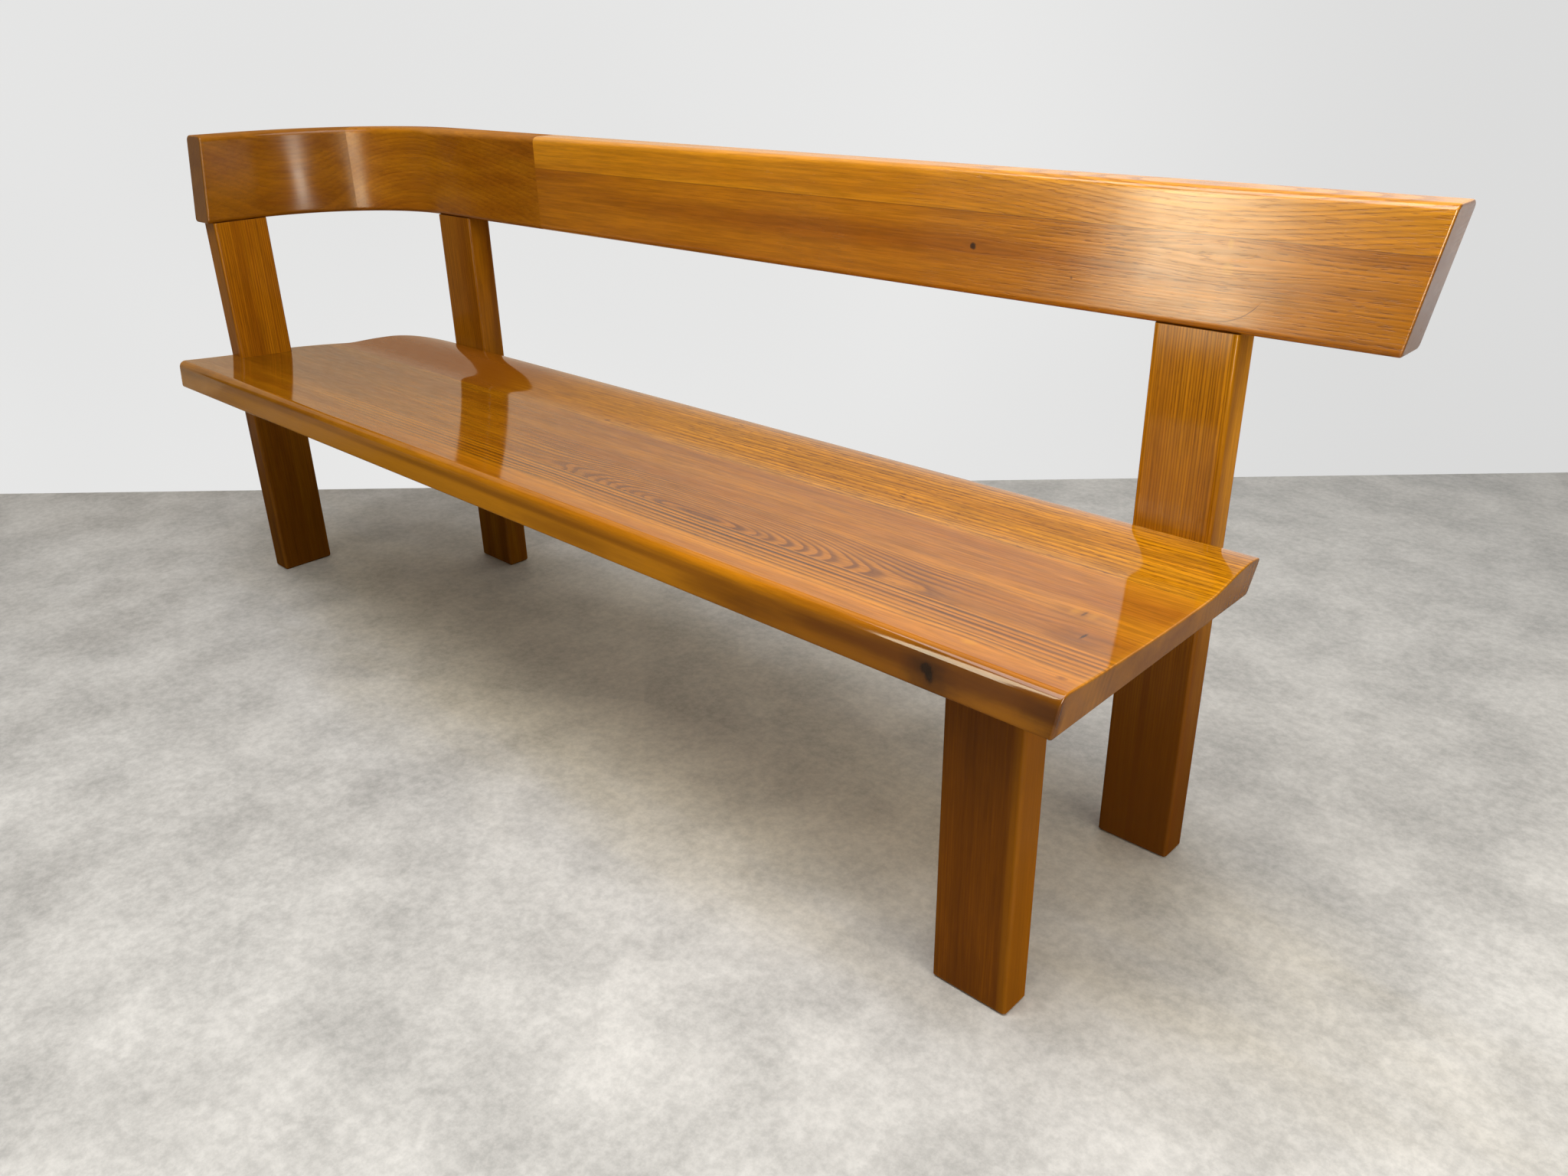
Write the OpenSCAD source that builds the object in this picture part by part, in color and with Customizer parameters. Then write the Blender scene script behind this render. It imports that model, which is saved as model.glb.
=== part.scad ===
// Corner bench in solid wood. A dished plank seat, glued up from three boards,
// stands on three tall posts and one short leg. The posts carry a backrest rail
// of three stacked strips that bends round the closed end of the seat.
// Lengths are in millimetres. The origin is on the floor under the middle of
// the bench: X runs to the open end, Y to the back and Z up. Sizes along the
// bench are taken from the outer face of the end post, and sizes across it
// from the front faces of the two rear posts.

/* [Seat] */
// Height of the seat's rim above the floor
seat_h = 441; // [400:1:480]
// Thickness of the seat plank at its rim
plank_t = 51; // [46:1:60]
// Depth of the seat in front of the rear posts
seat_d = 410; // [380:1:460]
// Length of the seat at half its thickness
seat_len = 1843; // [1500:1:2200]
// Lean of both seat ends from upright
seat_slant = 10.6; // [4:0.1:15]
// Width of the front board
front_board_w = 100; // [85:1:130]
// Width of the rear board
rear_board_w = 125; // [118:1:150]
// Round-over of the front edge
front_round = 11; // [8:1:24]
// Small rounding of the lower and rear edges
seat_arris = 5; // [2:0.5:7]

/* [Dish in the seat] */
// Depth of the dish below the rim
dish_depth = 15; // [8:1:17]
// Distance of the lowest line from the back edge
dish_back = 115; // [108:1:130]
// Distance of the rear crest from the back edge
crest_back = 27; // [15:1:33]
// Radius of the rear crest
crest_r = 110; // [80:1:120]
// Radius of the hollow in front of the crest
scoop_r = 100; // [80:1:120]

/* [Uprights] */
// Width of a post
post_w = 97; // [80:1:110]
// Thickness of a post
post_t = 43; // [38:1:50]
// Rounding of the long edges
post_arris = 4.5; // [2:0.5:8]
// Chamfer round the foot
foot_chamfer = 3; // [1:0.5:6]
// Distance of the end post behind the front edge
end_post_back = 100; // [60:1:110]
// Distance of the front leg behind the front edge
leg_back = 44; // [36:1:50]
// Distance of the right-hand uprights from the open end
right_inset = 55; // [20:1:200]
// How far the rear left post reaches into the bend
post_in_bend = 5; // [0:1:10]

/* [Backrest] */
// Height of the backrest's underside above the floor
back_h = 674; // [620:1:720]
// Height of each of the three strips
strip_h = 48.5; // [44:0.5:60]
// Thickness of the backrest
back_t = 54; // [51:1:65]
// Distance from the end post's outer face to the end of the bend
bend_x = 279; // [230:1:320]
// Distance from the end post's outer face to the long rail
rail_x = 585; // [520:1:700]
// Angle between the straight rail and the joint in the bend
mitre = 45; // [35:1:55]
// Rounding of the two top edges
top_arris = 9; // [3:0.5:14]
// Rounding of the two lower edges
low_arris = 7; // [3:0.5:12]
// Overhang past the end post's front edge, at the underside
left_overhang = 10; // [4:1:40]
// Overhang past the rear right post, at the underside
right_overhang = 160; // [40:1:220]
// Lean of the backrest's left end from upright
left_slant = 5.9; // [2:0.1:12]
// Lean of the backrest's right end from upright
right_slant = 9.7; // [2:0.1:15]

/* [Joints] */
// Diameter of the dowels between the seat boards
board_dowel_d = 10; // [8:0.5:12]
// Length of the dowels between the seat boards
board_dowel_l = 60; // [40:2:70]
// Number of dowels in each seat joint
board_dowels = 7; // [4:1:9]
// Diameter of the dowels that hold the seat to the posts
post_dowel_d = 16; // [12:0.5:18]
// Depth of these dowels in the seat
post_dowel_in_seat = 40; // [30:1:60]
// Depth of these dowels in the post
post_dowel_in_post = 28; // [20:1:32]
// Spacing of the two dowels at each post
post_dowel_gap = 50; // [36:1:56]
// Diameter of the dowels in the backrest joints
rail_dowel_d = 12; // [10:0.5:16]
// Length of the dowels in the mitred joint
mitre_dowel_l = 56; // [40:2:70]
// Length of the dowels in the straight joint
rail_dowel_l = 80; // [50:2:110]
// Width of the tenons on top of the uprights
tenon_w = 60; // [40:1:70]
// Thickness of the tenons
tenon_t = 18; // [12:1:22]
// Height of the tenons in the backrest
tenon_h = 36; // [20:1:38]
// Height of the tenon in the seat
leg_tenon_h = 24; // [15:1:28]
// Clearance round dowels and tenons
fit = 0.1; // [0.05:0.05:0.2]
// Room for glue at the bottom of each hole
glue_room = 1; // [0.5:0.5:2]

/* [Hidden] */
$fn = 96;
fine = 720;
beyond = 10;

// Heights
seat_under = seat_h - plank_t;
dish_z = seat_h - dish_depth;
back_total_h = 3 * strip_h;

// Places along X
left_post_x = bend_x - post_in_bend;
right_post_x = seat_len - right_inset - post_w;
rail_end_x = right_post_x + post_w + right_overhang;
rail_top_x = rail_end_x + back_total_h * tan(right_slant);

// Places along Y
front_joint_y = front_board_w - seat_d;
rear_joint_y = -rear_board_w;
end_post_y = end_post_back - seat_d;
leg_y = leg_back - seat_d;
left_end_y = end_post_y - left_overhang;

// The bend of the backrest follows the inner faces of the posts, and the
// corner of the seat their outer and front faces.
bend_r = bend_x - post_t;
bend_y = -bend_r;

// Middle of the whole bench, put over the origin
mid_x = (rail_top_x + post_t - back_t) / 2;
mid_y = (back_t - seat_d) / 2;

// The dish: a long shallow arc rises to the front edge, a short hollow and a
// crest close it at the back, and a straight flank touches both of these.
dish_run = seat_d - dish_back;
dish_r = (dish_run * dish_run + dish_depth * dish_depth) / (2 * dish_depth);
crest_run = dish_back - crest_back;
crest_rise = crest_r + scoop_r - dish_depth;
flank = atan2(crest_run, crest_rise) - acos((crest_r + scoop_r) / norm([crest_run, crest_rise]));
crest_foot = [-crest_back - crest_r * sin(flank), seat_h - crest_r + crest_r * cos(flank)];
scoop_foot = [scoop_r * sin(flank) - dish_back, dish_z + scoop_r - scoop_r * cos(flank)];

// Centre and far end of the front round-over, which touches the shallow arc
front_c = [front_round - seat_d,
           dish_z + dish_r - sqrt(pow(dish_r + front_round, 2) - pow(dish_run - front_round, 2))];
front_touch = -dish_back - (dish_run - front_round) * dish_r / (dish_r + front_round);

// Centre and near end of the rounding behind the crest
rear_c = [-seat_arris,
          seat_h - crest_r + sqrt(pow(crest_r - seat_arris, 2) - pow(crest_back - seat_arris, 2))];
rear_touch = (crest_back - seat_arris) * crest_r / (crest_r - seat_arris) - crest_back;

// Heights of the dowels
board_dowel_z = (seat_under + dish_z) / 2 + 1;
post_dowel_z = seat_under + 0.43 * plank_t;

// The dowels of a seat joint run from clear of the end post's dowels to clear
// of the front leg's tenon
board_dowel_x0 = post_t + post_dowel_in_seat + 2.5 * board_dowel_d;
board_dowel_step = (right_post_x - board_dowel_d - board_dowel_x0) / (board_dowels - 1);

// Moves the bench from its measuring faces to its own origin
module placed() {
    translate([-mid_x, -mid_y, 0]) children();
}

// Turns a profile drawn in Y and Z into a bar along X
module along_x(x0, x1) {
    translate([x0, 0, 0]) rotate([90, 0, 90]) linear_extrude(x1 - x0) children();
}

// Turns a profile drawn in X and Z into a bar along Y
module along_y(y0, y1) {
    translate([0, y1, 0]) rotate([90, 0, 0]) linear_extrude(y1 - y0) children();
}

// Corner waste outside a round edge of radius r, the corner at the origin and
// the wood towards plus X and plus Y
module corner_waste(r) {
    difference() {
        translate([-1, -1]) square(r + 1);
        translate([r, r]) circle(r);
    }
}

// Section of the whole seat, drawn in Y and Z, its rear edges round or square
module seat_section(round_rear) {
    difference() {
        union() {
            // Shallow arc from the lowest line to the front edge
            difference() {
                translate([-seat_d, seat_under]) square([dish_run, plank_t]);
                translate([-dish_back, dish_z + dish_r]) circle(dish_r, $fn = fine);
            }
            // Hollow behind the lowest line
            difference() {
                translate([-dish_back, seat_under]) square([scoop_r * sin(flank), plank_t]);
                translate([-dish_back, dish_z + scoop_r]) circle(scoop_r, $fn = fine);
            }
            // Straight flank
            polygon([[scoop_foot.x, seat_under], [crest_foot.x, seat_under], crest_foot, scoop_foot]);
            // Crest
            intersection() {
                translate([crest_foot.x, seat_under]) square([-crest_foot.x, plank_t + beyond]);
                translate([-crest_back, seat_h - crest_r]) circle(crest_r, $fn = fine);
            }
        }
        // Round-over of the front edge
        difference() {
            translate([-seat_d - 1, front_c.y]) square([front_touch + seat_d + 1, front_round + beyond]);
            translate(front_c) circle(front_round);
        }
        // Lower front edge
        translate([-seat_d, seat_under]) corner_waste(seat_arris);
        if (round_rear) {
            // Rounding behind the crest
            difference() {
                translate([rear_touch, rear_c.y]) square([1 - rear_touch, seat_arris + beyond]);
                translate(rear_c) circle(seat_arris);
            }
            // Lower rear edge
            translate([0, seat_under]) mirror([1, 0]) corner_waste(seat_arris);
        }
    }
}

// The seat's two leaning ends, as a bar with the right outline from the front
module seat_ends() {
    lean = tan(seat_slant) * (plank_t / 2 + beyond);
    along_y(-seat_d - beyond, beyond)
        polygon([[-lean, seat_under - beyond], [seat_len - lean, seat_under - beyond],
                 [seat_len + lean, seat_h + beyond], [lean, seat_h + beyond]]);
}

// The round corner of the seat, seen from above
module corner_drum() {
    translate([bend_x, -bend_x, seat_under - beyond])
        cylinder(r = bend_x, h = plank_t + 2 * beyond, $fn = fine);
}

// The lower edge of the round corner
module corner_arris_waste() {
    translate([bend_x, -bend_x, seat_under]) rotate([0, 0, 90]) rotate_extrude(angle = 90, $fn = fine)
        translate([bend_x, 0]) mirror([1, 0]) corner_waste(seat_arris);
}

// One hole or pin along Y, its middle on the line y
module pin_y(x, y, z, d, l) {
    translate([x, y + l / 2, z]) rotate([90, 0, 0]) cylinder(d = d, h = l);
}

// Dowels across the two glued joints of the seat, grown on all sides by g
module board_pins(g, ends) {
    for (y = [front_joint_y, rear_joint_y], i = [0 : board_dowels - 1])
        pin_y(board_dowel_x0 + i * board_dowel_step, y, board_dowel_z,
              board_dowel_d + 2 * g, board_dowel_l + 2 * ends);
}

// Dowels from the rear and end posts into the seat
module post_pins(g, ends) {
    for (x = [left_post_x, right_post_x] + [post_w / 2, post_w / 2], s = [-1, 1])
        pin_y(x + s * post_dowel_gap / 2, (post_dowel_in_post - post_dowel_in_seat) / 2, post_dowel_z,
              post_dowel_d + 2 * g, post_dowel_in_seat + post_dowel_in_post + 2 * ends);
    for (s = [-1, 1])
        translate([post_t - post_dowel_in_post - ends, end_post_y + post_w / 2 + s * post_dowel_gap / 2,
                   board_dowel_z])
            rotate([0, 90, 0])
                cylinder(d = post_dowel_d + 2 * g, h = post_dowel_in_post + post_dowel_in_seat + 2 * ends);
}

// Notch for the end post in the left end of the seat
module end_post_notch() {
    translate([-beyond, end_post_y, seat_under - beyond])
        cube([post_t + beyond, post_w, plank_t + 2 * beyond]);
}

// A tenon, its foot centred on the origin, grown on all sides by g
module tenon(h, g = 0) {
    translate([-tenon_w / 2 - g, -tenon_t / 2 - g, 0]) cube([tenon_w + 2 * g, tenon_t + 2 * g, h]);
}

// A bar of the seat between two places along it and two lines across it
module seat_bar(x0, x1, y0, y1, round_rear) {
    along_x(x0, x1) intersection() {
        seat_section(round_rear);
        translate([y0, 0]) square([y1 - y0, 2 * seat_h]);
    }
}

// The part of the seat between two lines across its depth. A board that takes
// part in the round corner has its first stretch cut to that corner.
module seat_slice(y0, y1, at_corner) {
    difference() {
        union() {
            intersection() {
                seat_bar(at_corner ? bend_x : -plank_t, seat_len + plank_t, y0, y1, true);
                seat_ends();
            }
            if (at_corner) difference() {
                intersection() {
                    seat_bar(-beyond, bend_x, y0, y1, false);
                    corner_drum();
                }
                corner_arris_waste();
            }
        }
        end_post_notch();
        board_pins(fit, glue_room);
        post_pins(fit, glue_room);
    }
}

module seat_board_front() {
    color("#b0702f") placed() difference() {
        seat_slice(-seat_d, front_joint_y, false);
        translate([right_post_x + post_w / 2, leg_y + post_t / 2, seat_under])
            tenon(leg_tenon_h + glue_room, fit);
    }
}

module seat_board_middle() {
    color("#a5632b") placed() seat_slice(front_joint_y, rear_joint_y, true);
}

module seat_board_rear() {
    color("#bd7a31") placed() seat_slice(rear_joint_y, 0, true);
}

module seat_dowels() {
    color("#d8b27a") placed() board_pins(0, 0);
}

// Section of an upright with its rounded long edges, centred on the origin
module post_section() {
    r = post_arris;
    square([post_w - 2 * r, post_t], center = true);
    square([post_w, post_t - 2 * r], center = true);
    for (x = [-1, 1], y = [-1, 1])
        translate([x * (post_w / 2 - r), y * (post_t / 2 - r)]) circle(r);
}

// Side view of an upright with its chamfered foot, w wide and h high
module foot_outline(w, h) {
    c = foot_chamfer;
    polygon([[c - w / 2, 0], [w / 2 - c, 0], [w / 2, c], [w / 2, h], [-w / 2, h], [-w / 2, c]]);
}

// An upright of height h with a tenon on top, centred on the origin
module upright(h, tenon_height) {
    intersection() {
        linear_extrude(h) post_section();
        along_y(-post_t, post_t) foot_outline(post_w, h + beyond);
        along_x(-post_w, post_w) foot_outline(post_t, h + beyond);
    }
    translate([0, 0, h]) tenon(tenon_height);
}

module end_post() {
    color("#9c5e27") placed() difference() {
        translate([post_t / 2, end_post_y + post_w / 2, 0]) rotate([0, 0, 90]) upright(back_h, tenon_h);
        post_pins(fit, glue_room);
    }
}

module rear_post(x) {
    difference() {
        translate([x + post_w / 2, post_t / 2, 0]) upright(back_h, tenon_h);
        post_pins(fit, glue_room);
    }
}

module rear_left_post() {
    color("#9c5e27") placed() rear_post(left_post_x);
}

module rear_right_post() {
    color("#9c5e27") placed() rear_post(right_post_x);
}

module front_leg() {
    color("#8f5323") placed()
        translate([right_post_x + post_w / 2, leg_y + post_t / 2, 0]) upright(seat_under, leg_tenon_h);
}

module post_dowels() {
    color("#d8b27a") placed() post_pins(0, 0);
}

// Section of strip i of the backrest, counted from below: its inner face is on
// the Y axis and its height above the floor is the real one
module strip_section(i) {
    z = back_h + i * strip_h;
    difference() {
        translate([0, z]) square([back_t, strip_h]);
        if (i == 0) for (side = [0, 1])
            translate([side * back_t, z]) mirror([side, 0]) corner_waste(low_arris);
        if (i == 2) for (side = [0, 1])
            translate([side * back_t, z + strip_h]) mirror([side, 0]) mirror([0, 1]) corner_waste(top_arris);
    }
}

// A stretch of the bend in strip i, between two angles from plus X
module bend(i, from, to) {
    translate([bend_x, bend_y, 0]) rotate([0, 0, from])
        rotate_extrude(angle = to - from, $fn = fine) translate([bend_r, 0]) strip_section(i);
}

// Pins through the mitred joint in the bend, one in each strip
module mitre_pins(g, ends) {
    for (i = [0 : 2])
        translate([bend_x, bend_y, back_h + (i + 0.5) * strip_h]) rotate([0, 0, 90 + mitre])
            pin_y(bend_r + back_t / 2, 0, 0, rail_dowel_d + 2 * g, mitre_dowel_l + 2 * ends);
}

// Pins through the straight joint, one in each strip
module rail_pins(g, ends) {
    for (i = [0 : 2])
        translate([rail_x - rail_dowel_l / 2 - ends, back_t / 2, back_h + (i + 0.5) * strip_h])
            rotate([0, 90, 0]) cylinder(d = rail_dowel_d + 2 * g, h = rail_dowel_l + 2 * ends);
}

// Mortises for the three posts in the lower strip
module post_mortises() {
    for (x = [left_post_x, right_post_x] + [post_w / 2, post_w / 2])
        translate([x, post_t / 2, back_h]) tenon(tenon_h + glue_room, fit);
    translate([post_t / 2, end_post_y + post_w / 2, back_h]) rotate([0, 0, 90])
        tenon(tenon_h + glue_room, fit);
}

// Strip i of the long straight rail
module rail(i) {
    placed() difference() {
        along_x(rail_x, rail_top_x + beyond) strip_section(i);
        // Leaning end on the right
        translate([rail_end_x, -beyond, back_h]) rotate([0, right_slant, 0])
            translate([0, 0, -beyond * 2]) cube([4 * strip_h, back_t + 2 * beyond, 4 * strip_h]);
        rail_pins(fit, glue_room);
        if (i == 0) post_mortises();
    }
}

// Strip i of the corner, from the mitred joint to the long rail
module corner_block(i) {
    placed() difference() {
        union() {
            along_x(bend_x, rail_x) strip_section(i);
            bend(i, 90, 90 + mitre);
        }
        rail_pins(fit, glue_room);
        mitre_pins(fit, glue_room);
        if (i == 0) post_mortises();
    }
}

// Strip i of the left end, from the mitred joint to its leaning end
module end_block(i) {
    placed() difference() {
        union() {
            bend(i, 90 + mitre, 180);
            along_y(left_end_y - beyond, bend_y) translate([post_t, 0]) mirror([1, 0]) strip_section(i);
        }
        // Leaning end above the end post
        translate([-2 * beyond, left_end_y, back_h]) rotate([-left_slant, 0, 0])
            translate([0, -4 * strip_h, -beyond * 2]) cube([back_t + 4 * beyond, 4 * strip_h, 4 * strip_h]);
        mitre_pins(fit, glue_room);
        if (i == 0) post_mortises();
    }
}

module rail_lower() { color("#ad6c2a") rail(0); }
module rail_middle() { color("#b87430") rail(1); }
module rail_upper() { color("#c98a36") rail(2); }
module corner_lower() { color("#a5622a") corner_block(0); }
module corner_middle() { color("#b06c2c") corner_block(1); }
module corner_upper() { color("#9c5a26") corner_block(2); }
module end_lower() { color("#9b5c28") end_block(0); }
module end_middle() { color("#a9682c") end_block(1); }
module end_upper() { color("#945626") end_block(2); }

module mitre_dowels() {
    color("#d8b27a") placed() mitre_pins(0, 0);
}

module rail_dowels() {
    color("#d8b27a") placed() rail_pins(0, 0);
}

seat_board_front();
seat_board_middle();
seat_board_rear();
seat_dowels();
end_post();
rear_left_post();
rear_right_post();
front_leg();
post_dowels();
rail_lower();
rail_middle();
rail_upper();
corner_lower();
corner_middle();
corner_upper();
end_lower();
end_middle();
end_upper();
mitre_dowels();
rail_dowels();
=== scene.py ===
from math import acos, atan2, cos, hypot, pi, radians, sin, sqrt, tan

import bmesh
import bpy
from bpy.props import FloatProperty, FloatVectorProperty, PointerProperty
from mathutils import Matrix, Vector


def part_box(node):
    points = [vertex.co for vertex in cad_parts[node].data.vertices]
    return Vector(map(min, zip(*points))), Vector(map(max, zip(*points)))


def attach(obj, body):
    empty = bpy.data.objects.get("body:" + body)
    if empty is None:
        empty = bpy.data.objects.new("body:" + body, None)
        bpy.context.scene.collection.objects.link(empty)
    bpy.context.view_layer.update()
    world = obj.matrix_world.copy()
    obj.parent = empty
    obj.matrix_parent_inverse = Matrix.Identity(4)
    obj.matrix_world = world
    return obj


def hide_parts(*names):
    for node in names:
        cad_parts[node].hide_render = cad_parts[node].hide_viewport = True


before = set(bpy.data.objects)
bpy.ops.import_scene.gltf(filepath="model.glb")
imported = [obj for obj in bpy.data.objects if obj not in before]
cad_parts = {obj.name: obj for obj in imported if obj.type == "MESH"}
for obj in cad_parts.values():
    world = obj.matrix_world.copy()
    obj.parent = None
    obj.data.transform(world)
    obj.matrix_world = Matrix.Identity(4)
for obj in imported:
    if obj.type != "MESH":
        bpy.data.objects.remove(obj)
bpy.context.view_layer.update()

bl_info = {
    "name": "Corner Bench",
    "version": (1, 0, 0),
    "blender": (4, 5, 0),
    "location": "View3D > Sidebar > Bench",
    "description": "A varnished corner bench: dished seat, flat uprights and a bent backrest",
    "category": "Add Mesh",
}


def low(node):
    """The lowest corner of a part of the bench."""
    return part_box(node)[0]


def high(node):
    """The highest corner of a part of the bench."""
    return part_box(node)[1]


# Shapes are drawn from the outer face of the end post and the front faces of
# the rear posts, on the floor, and are moved to this place when they are done
DATUM = Vector((low("end_post").x, low("rear_left_post").y, 0))
SEAT_LEAN = radians(10.6)
SEAT_TOP = high("seat_board_rear").z
SEAT_UNDER = low("seat_board_front").z
SEAT_MIDDLE = (SEAT_TOP + SEAT_UNDER) / 2
STRIPS = ("lower", "middle", "upper")
BACK_UNDER = low("rail_lower").z
JOINTS_Z = (high("rail_lower").z, high("rail_middle").z)
QUARTER = pi / 2
ARRIS_STEPS = 4
OVERLENGTH = 0.05
SAME = 1e-5


def length(label, text, default):
    """A size in metres that a user may change."""
    return FloatProperty(name=label, description=text, default=default, unit="LENGTH", precision=4)


def angle(label, text, default):
    """A lean that a user may change."""
    return FloatProperty(name=label, description=text, default=default, subtype="ANGLE")


def colour(label, text, default):
    """A colour that a user may change."""
    return FloatVectorProperty(name=label, description=text, default=default, size=3,
                               subtype="COLOR", min=0, max=1)


def factor(label, text, default):
    """A share from 0 to 1 that a user may change."""
    return FloatProperty(name=label, description=text, default=default, min=0, max=1, subtype="FACTOR")


class BenchSizes(bpy.types.PropertyGroup):
    """Sizes of the bench that the dressed pieces are drawn from"""

    seat_length: length("Seat length", "Length of the seat at half its thickness",
                        high("seat_board_rear").x - DATUM.x - (SEAT_TOP - SEAT_MIDDLE) * tan(SEAT_LEAN))
    seat_depth: length("Seat depth", "Depth of the seat before the rear posts",
                       DATUM.y - low("seat_board_front").y)
    seat_lean: angle("Seat end lean", "Lean of both seat ends from upright", SEAT_LEAN)
    front_joint: length("Front joint", "Distance of the front glue line from the seat's back edge",
                        DATUM.y - high("seat_board_front").y)
    rear_joint: length("Rear joint", "Distance of the rear glue line from the seat's back edge",
                       DATUM.y - low("seat_board_rear").y)
    front_round: length("Front round-over", "Radius of the seat's top front edge", 0.011)
    seat_arris: length("Seat arris", "Rounding of the seat's lower and rear edges", 0.005)
    end_arris: length("End arris", "Rounding of the edges at the seat's ends", 0.0025)
    dish_depth: length("Dish depth", "Depth of the dish below the seat's rim", 0.015)
    dish_back: length("Dish line", "Distance of the lowest line from the back edge", 0.115)
    crest_back: length("Crest line", "Distance of the rear crest from the back edge", 0.027)
    crest_radius: length("Crest radius", "Radius of the rear crest", 0.110)
    hollow_radius: length("Hollow radius", "Radius of the hollow before the crest", 0.100)
    corner_radius: length("Corner radius", "Radius of the seat's rear left corner", 0.279)
    post_arris: length("Post arris", "Rounding of the uprights' long edges", 0.0045)
    foot_chamfer: length("Foot chamfer", "Chamfer round each foot", 0.003)
    bend_radius: length("Bend radius", "Inner radius of the backrest's bend", 0.236)
    back_thickness: length("Backrest thickness", "Thickness of the backrest",
                           high("rail_upper").y - low("rail_upper").y)
    strip_height: length("Strip height", "Height of each strip of the backrest", JOINTS_Z[0] - BACK_UNDER)
    rail_start: length("Rail joint", "Distance of the joint in the rail from the left",
                       low("rail_lower").x - DATUM.x)
    rail_overhang: length("Rail overhang", "Overhang past the rear right post, at the underside", 0.160)
    left_overhang: length("Left overhang", "Overhang past the end post, at the underside", 0.010)
    left_lean: angle("Left end lean", "Lean of the backrest's left end from upright", radians(5.9))
    right_lean: angle("Right end lean", "Lean of the backrest's right end from upright", radians(9.7))
    top_arris: length("Top arris", "Rounding of the backrest's top edges", 0.009)
    low_arris: length("Lower arris", "Rounding of the backrest's lower edges", 0.007)
    back_end_arris: length("Backrest end arris", "Rounding of the edges at the backrest's ends", 0.003)


class BenchFinish(bpy.types.PropertyGroup):
    """Colours and gloss of the varnished wood"""

    # Amber, honey, russet, umber and bark are also painted on as light and shade. Amber pales the front leg's
    # lit right face. Honey pales the left of the seat's front face, and pales the rounded edges partly as
    # rubbing and partly as a painted highlight. Russet, umber and bark paint shade low on the rear right
    # post, over the seat's rear left and at the right end of the seat's front face.
    amber: colour("Amber", "Varnished sapwood in the light", (0.46, 0.165, 0.004))
    chestnut: colour("Chestnut", "Red-brown heartwood", (0.30, 0.090, 0.003))
    honey: colour("Honey", "Yellow wood of the top strip and of worn edges", (0.62, 0.250, 0.006))
    russet: colour("Russet", "Dark wood of the front leg", (0.17, 0.048, 0.003))
    umber: colour("Umber", "Growth lines and pores", (0.13, 0.036, 0.003))
    end_grain: colour("End grain", "Cut ends of the boards", (0.125, 0.043, 0.009))
    bark: colour("Bark", "The heart of a knot", (0.020, 0.007, 0.002))
    beech: colour("Beech", "Bare dowels", (0.60, 0.42, 0.22))
    roughness: factor("Roughness", "Roughness of the varnish under its clear top coat", 0.24)


class BenchStage(bpy.types.PropertyGroup):
    """The studio round the bench"""

    floor: colour("Floor", "Pale grey floor", (0.56, 0.545, 0.515))
    wall: colour("Wall", "White backdrop", (0.80, 0.80, 0.795))


class Tree:
    """Adds nodes to one tree and feeds them plain values or other nodes' sockets"""

    def __init__(self, tree):
        self.tree = tree

    def feed(self, socket, value):
        """Links a socket to another node's, or sets it to a plain value."""
        if isinstance(value, bpy.types.NodeSocket):
            self.tree.links.new(value, socket)
        else:
            socket.default_value = value

    def add(self, kind, *values, **settings):
        """A new node, its inputs fed in their order, None leaving one alone."""
        node = self.tree.nodes.new(kind)
        for key, value in settings.items():
            setattr(node, key, value)
        for socket, value in zip(node.inputs, values):
            if value is not None:
                self.feed(socket, value)
        return node

    def fill(self, node, **values):
        """Feeds a node's inputs by name, blanks written as low lines, and hands the node back."""
        for key, value in values.items():
            self.feed(node.inputs[key.replace("_", " ")], value)
        return node

    def maths(self, operation, *values, clamp=False):
        """The result of a sum with plain numbers."""
        return self.add("ShaderNodeMath", *values, operation=operation, use_clamp=clamp).outputs[0]

    def times(self, first, second):
        """Two numbers multiplied."""
        return self.maths("MULTIPLY", first, second)

    def vector(self, operation, *values):
        """The result of a sum with vectors."""
        node = self.add("ShaderNodeVectorMath", *values, operation=operation)
        return node.outputs["Value" if operation in ("LENGTH", "DOT_PRODUCT") else "Vector"]

    def scaled(self, vector, x, y, z):
        """A vector scaled along each axis."""
        return self.vector("MULTIPLY", vector, (x, y, z))

    def parts(self, vector):
        """The x, y and z of a vector."""
        return self.add("ShaderNodeSeparateXYZ", vector).outputs

    def join(self, x, y, z):
        """A vector of its x, y and z."""
        return self.add("ShaderNodeCombineXYZ", x, y, z).outputs[0]

    def noise(self, vector, scale, detail=2.0, roughness=0.5):
        """Soft noise, as Fac and as Color."""
        node = self.add("ShaderNodeTexNoise")
        return self.fill(node, Vector=vector, Scale=scale, Detail=detail, Roughness=roughness).outputs

    def fade(self, value, start, end, low_value=0.0, high_value=1.0):
        """A smooth rise from low_value at start to high_value at end."""
        node = self.add("ShaderNodeMapRange", value, start, end, low_value, high_value,
                        interpolation_type="SMOOTHSTEP")
        return node.outputs[0]

    def blend(self, share, first, second, kind="MIX"):
        """Two colours mixed."""
        node = self.add("ShaderNodeMix", share, data_type="RGBA", blend_type=kind)
        self.feed(node.inputs[6], first)
        self.feed(node.inputs[7], second)
        return node.outputs[2]

    def shaded(self, tone, grey):
        """A colour made darker or lighter."""
        return self.blend(1.0, tone, self.join(grey, grey, grey), "MULTIPLY")

    def group(self, tree, **values):
        """A placed node group, its inputs fed by name."""
        return self.fill(self.add("ShaderNodeGroup", node_tree=tree), **values).outputs


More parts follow.
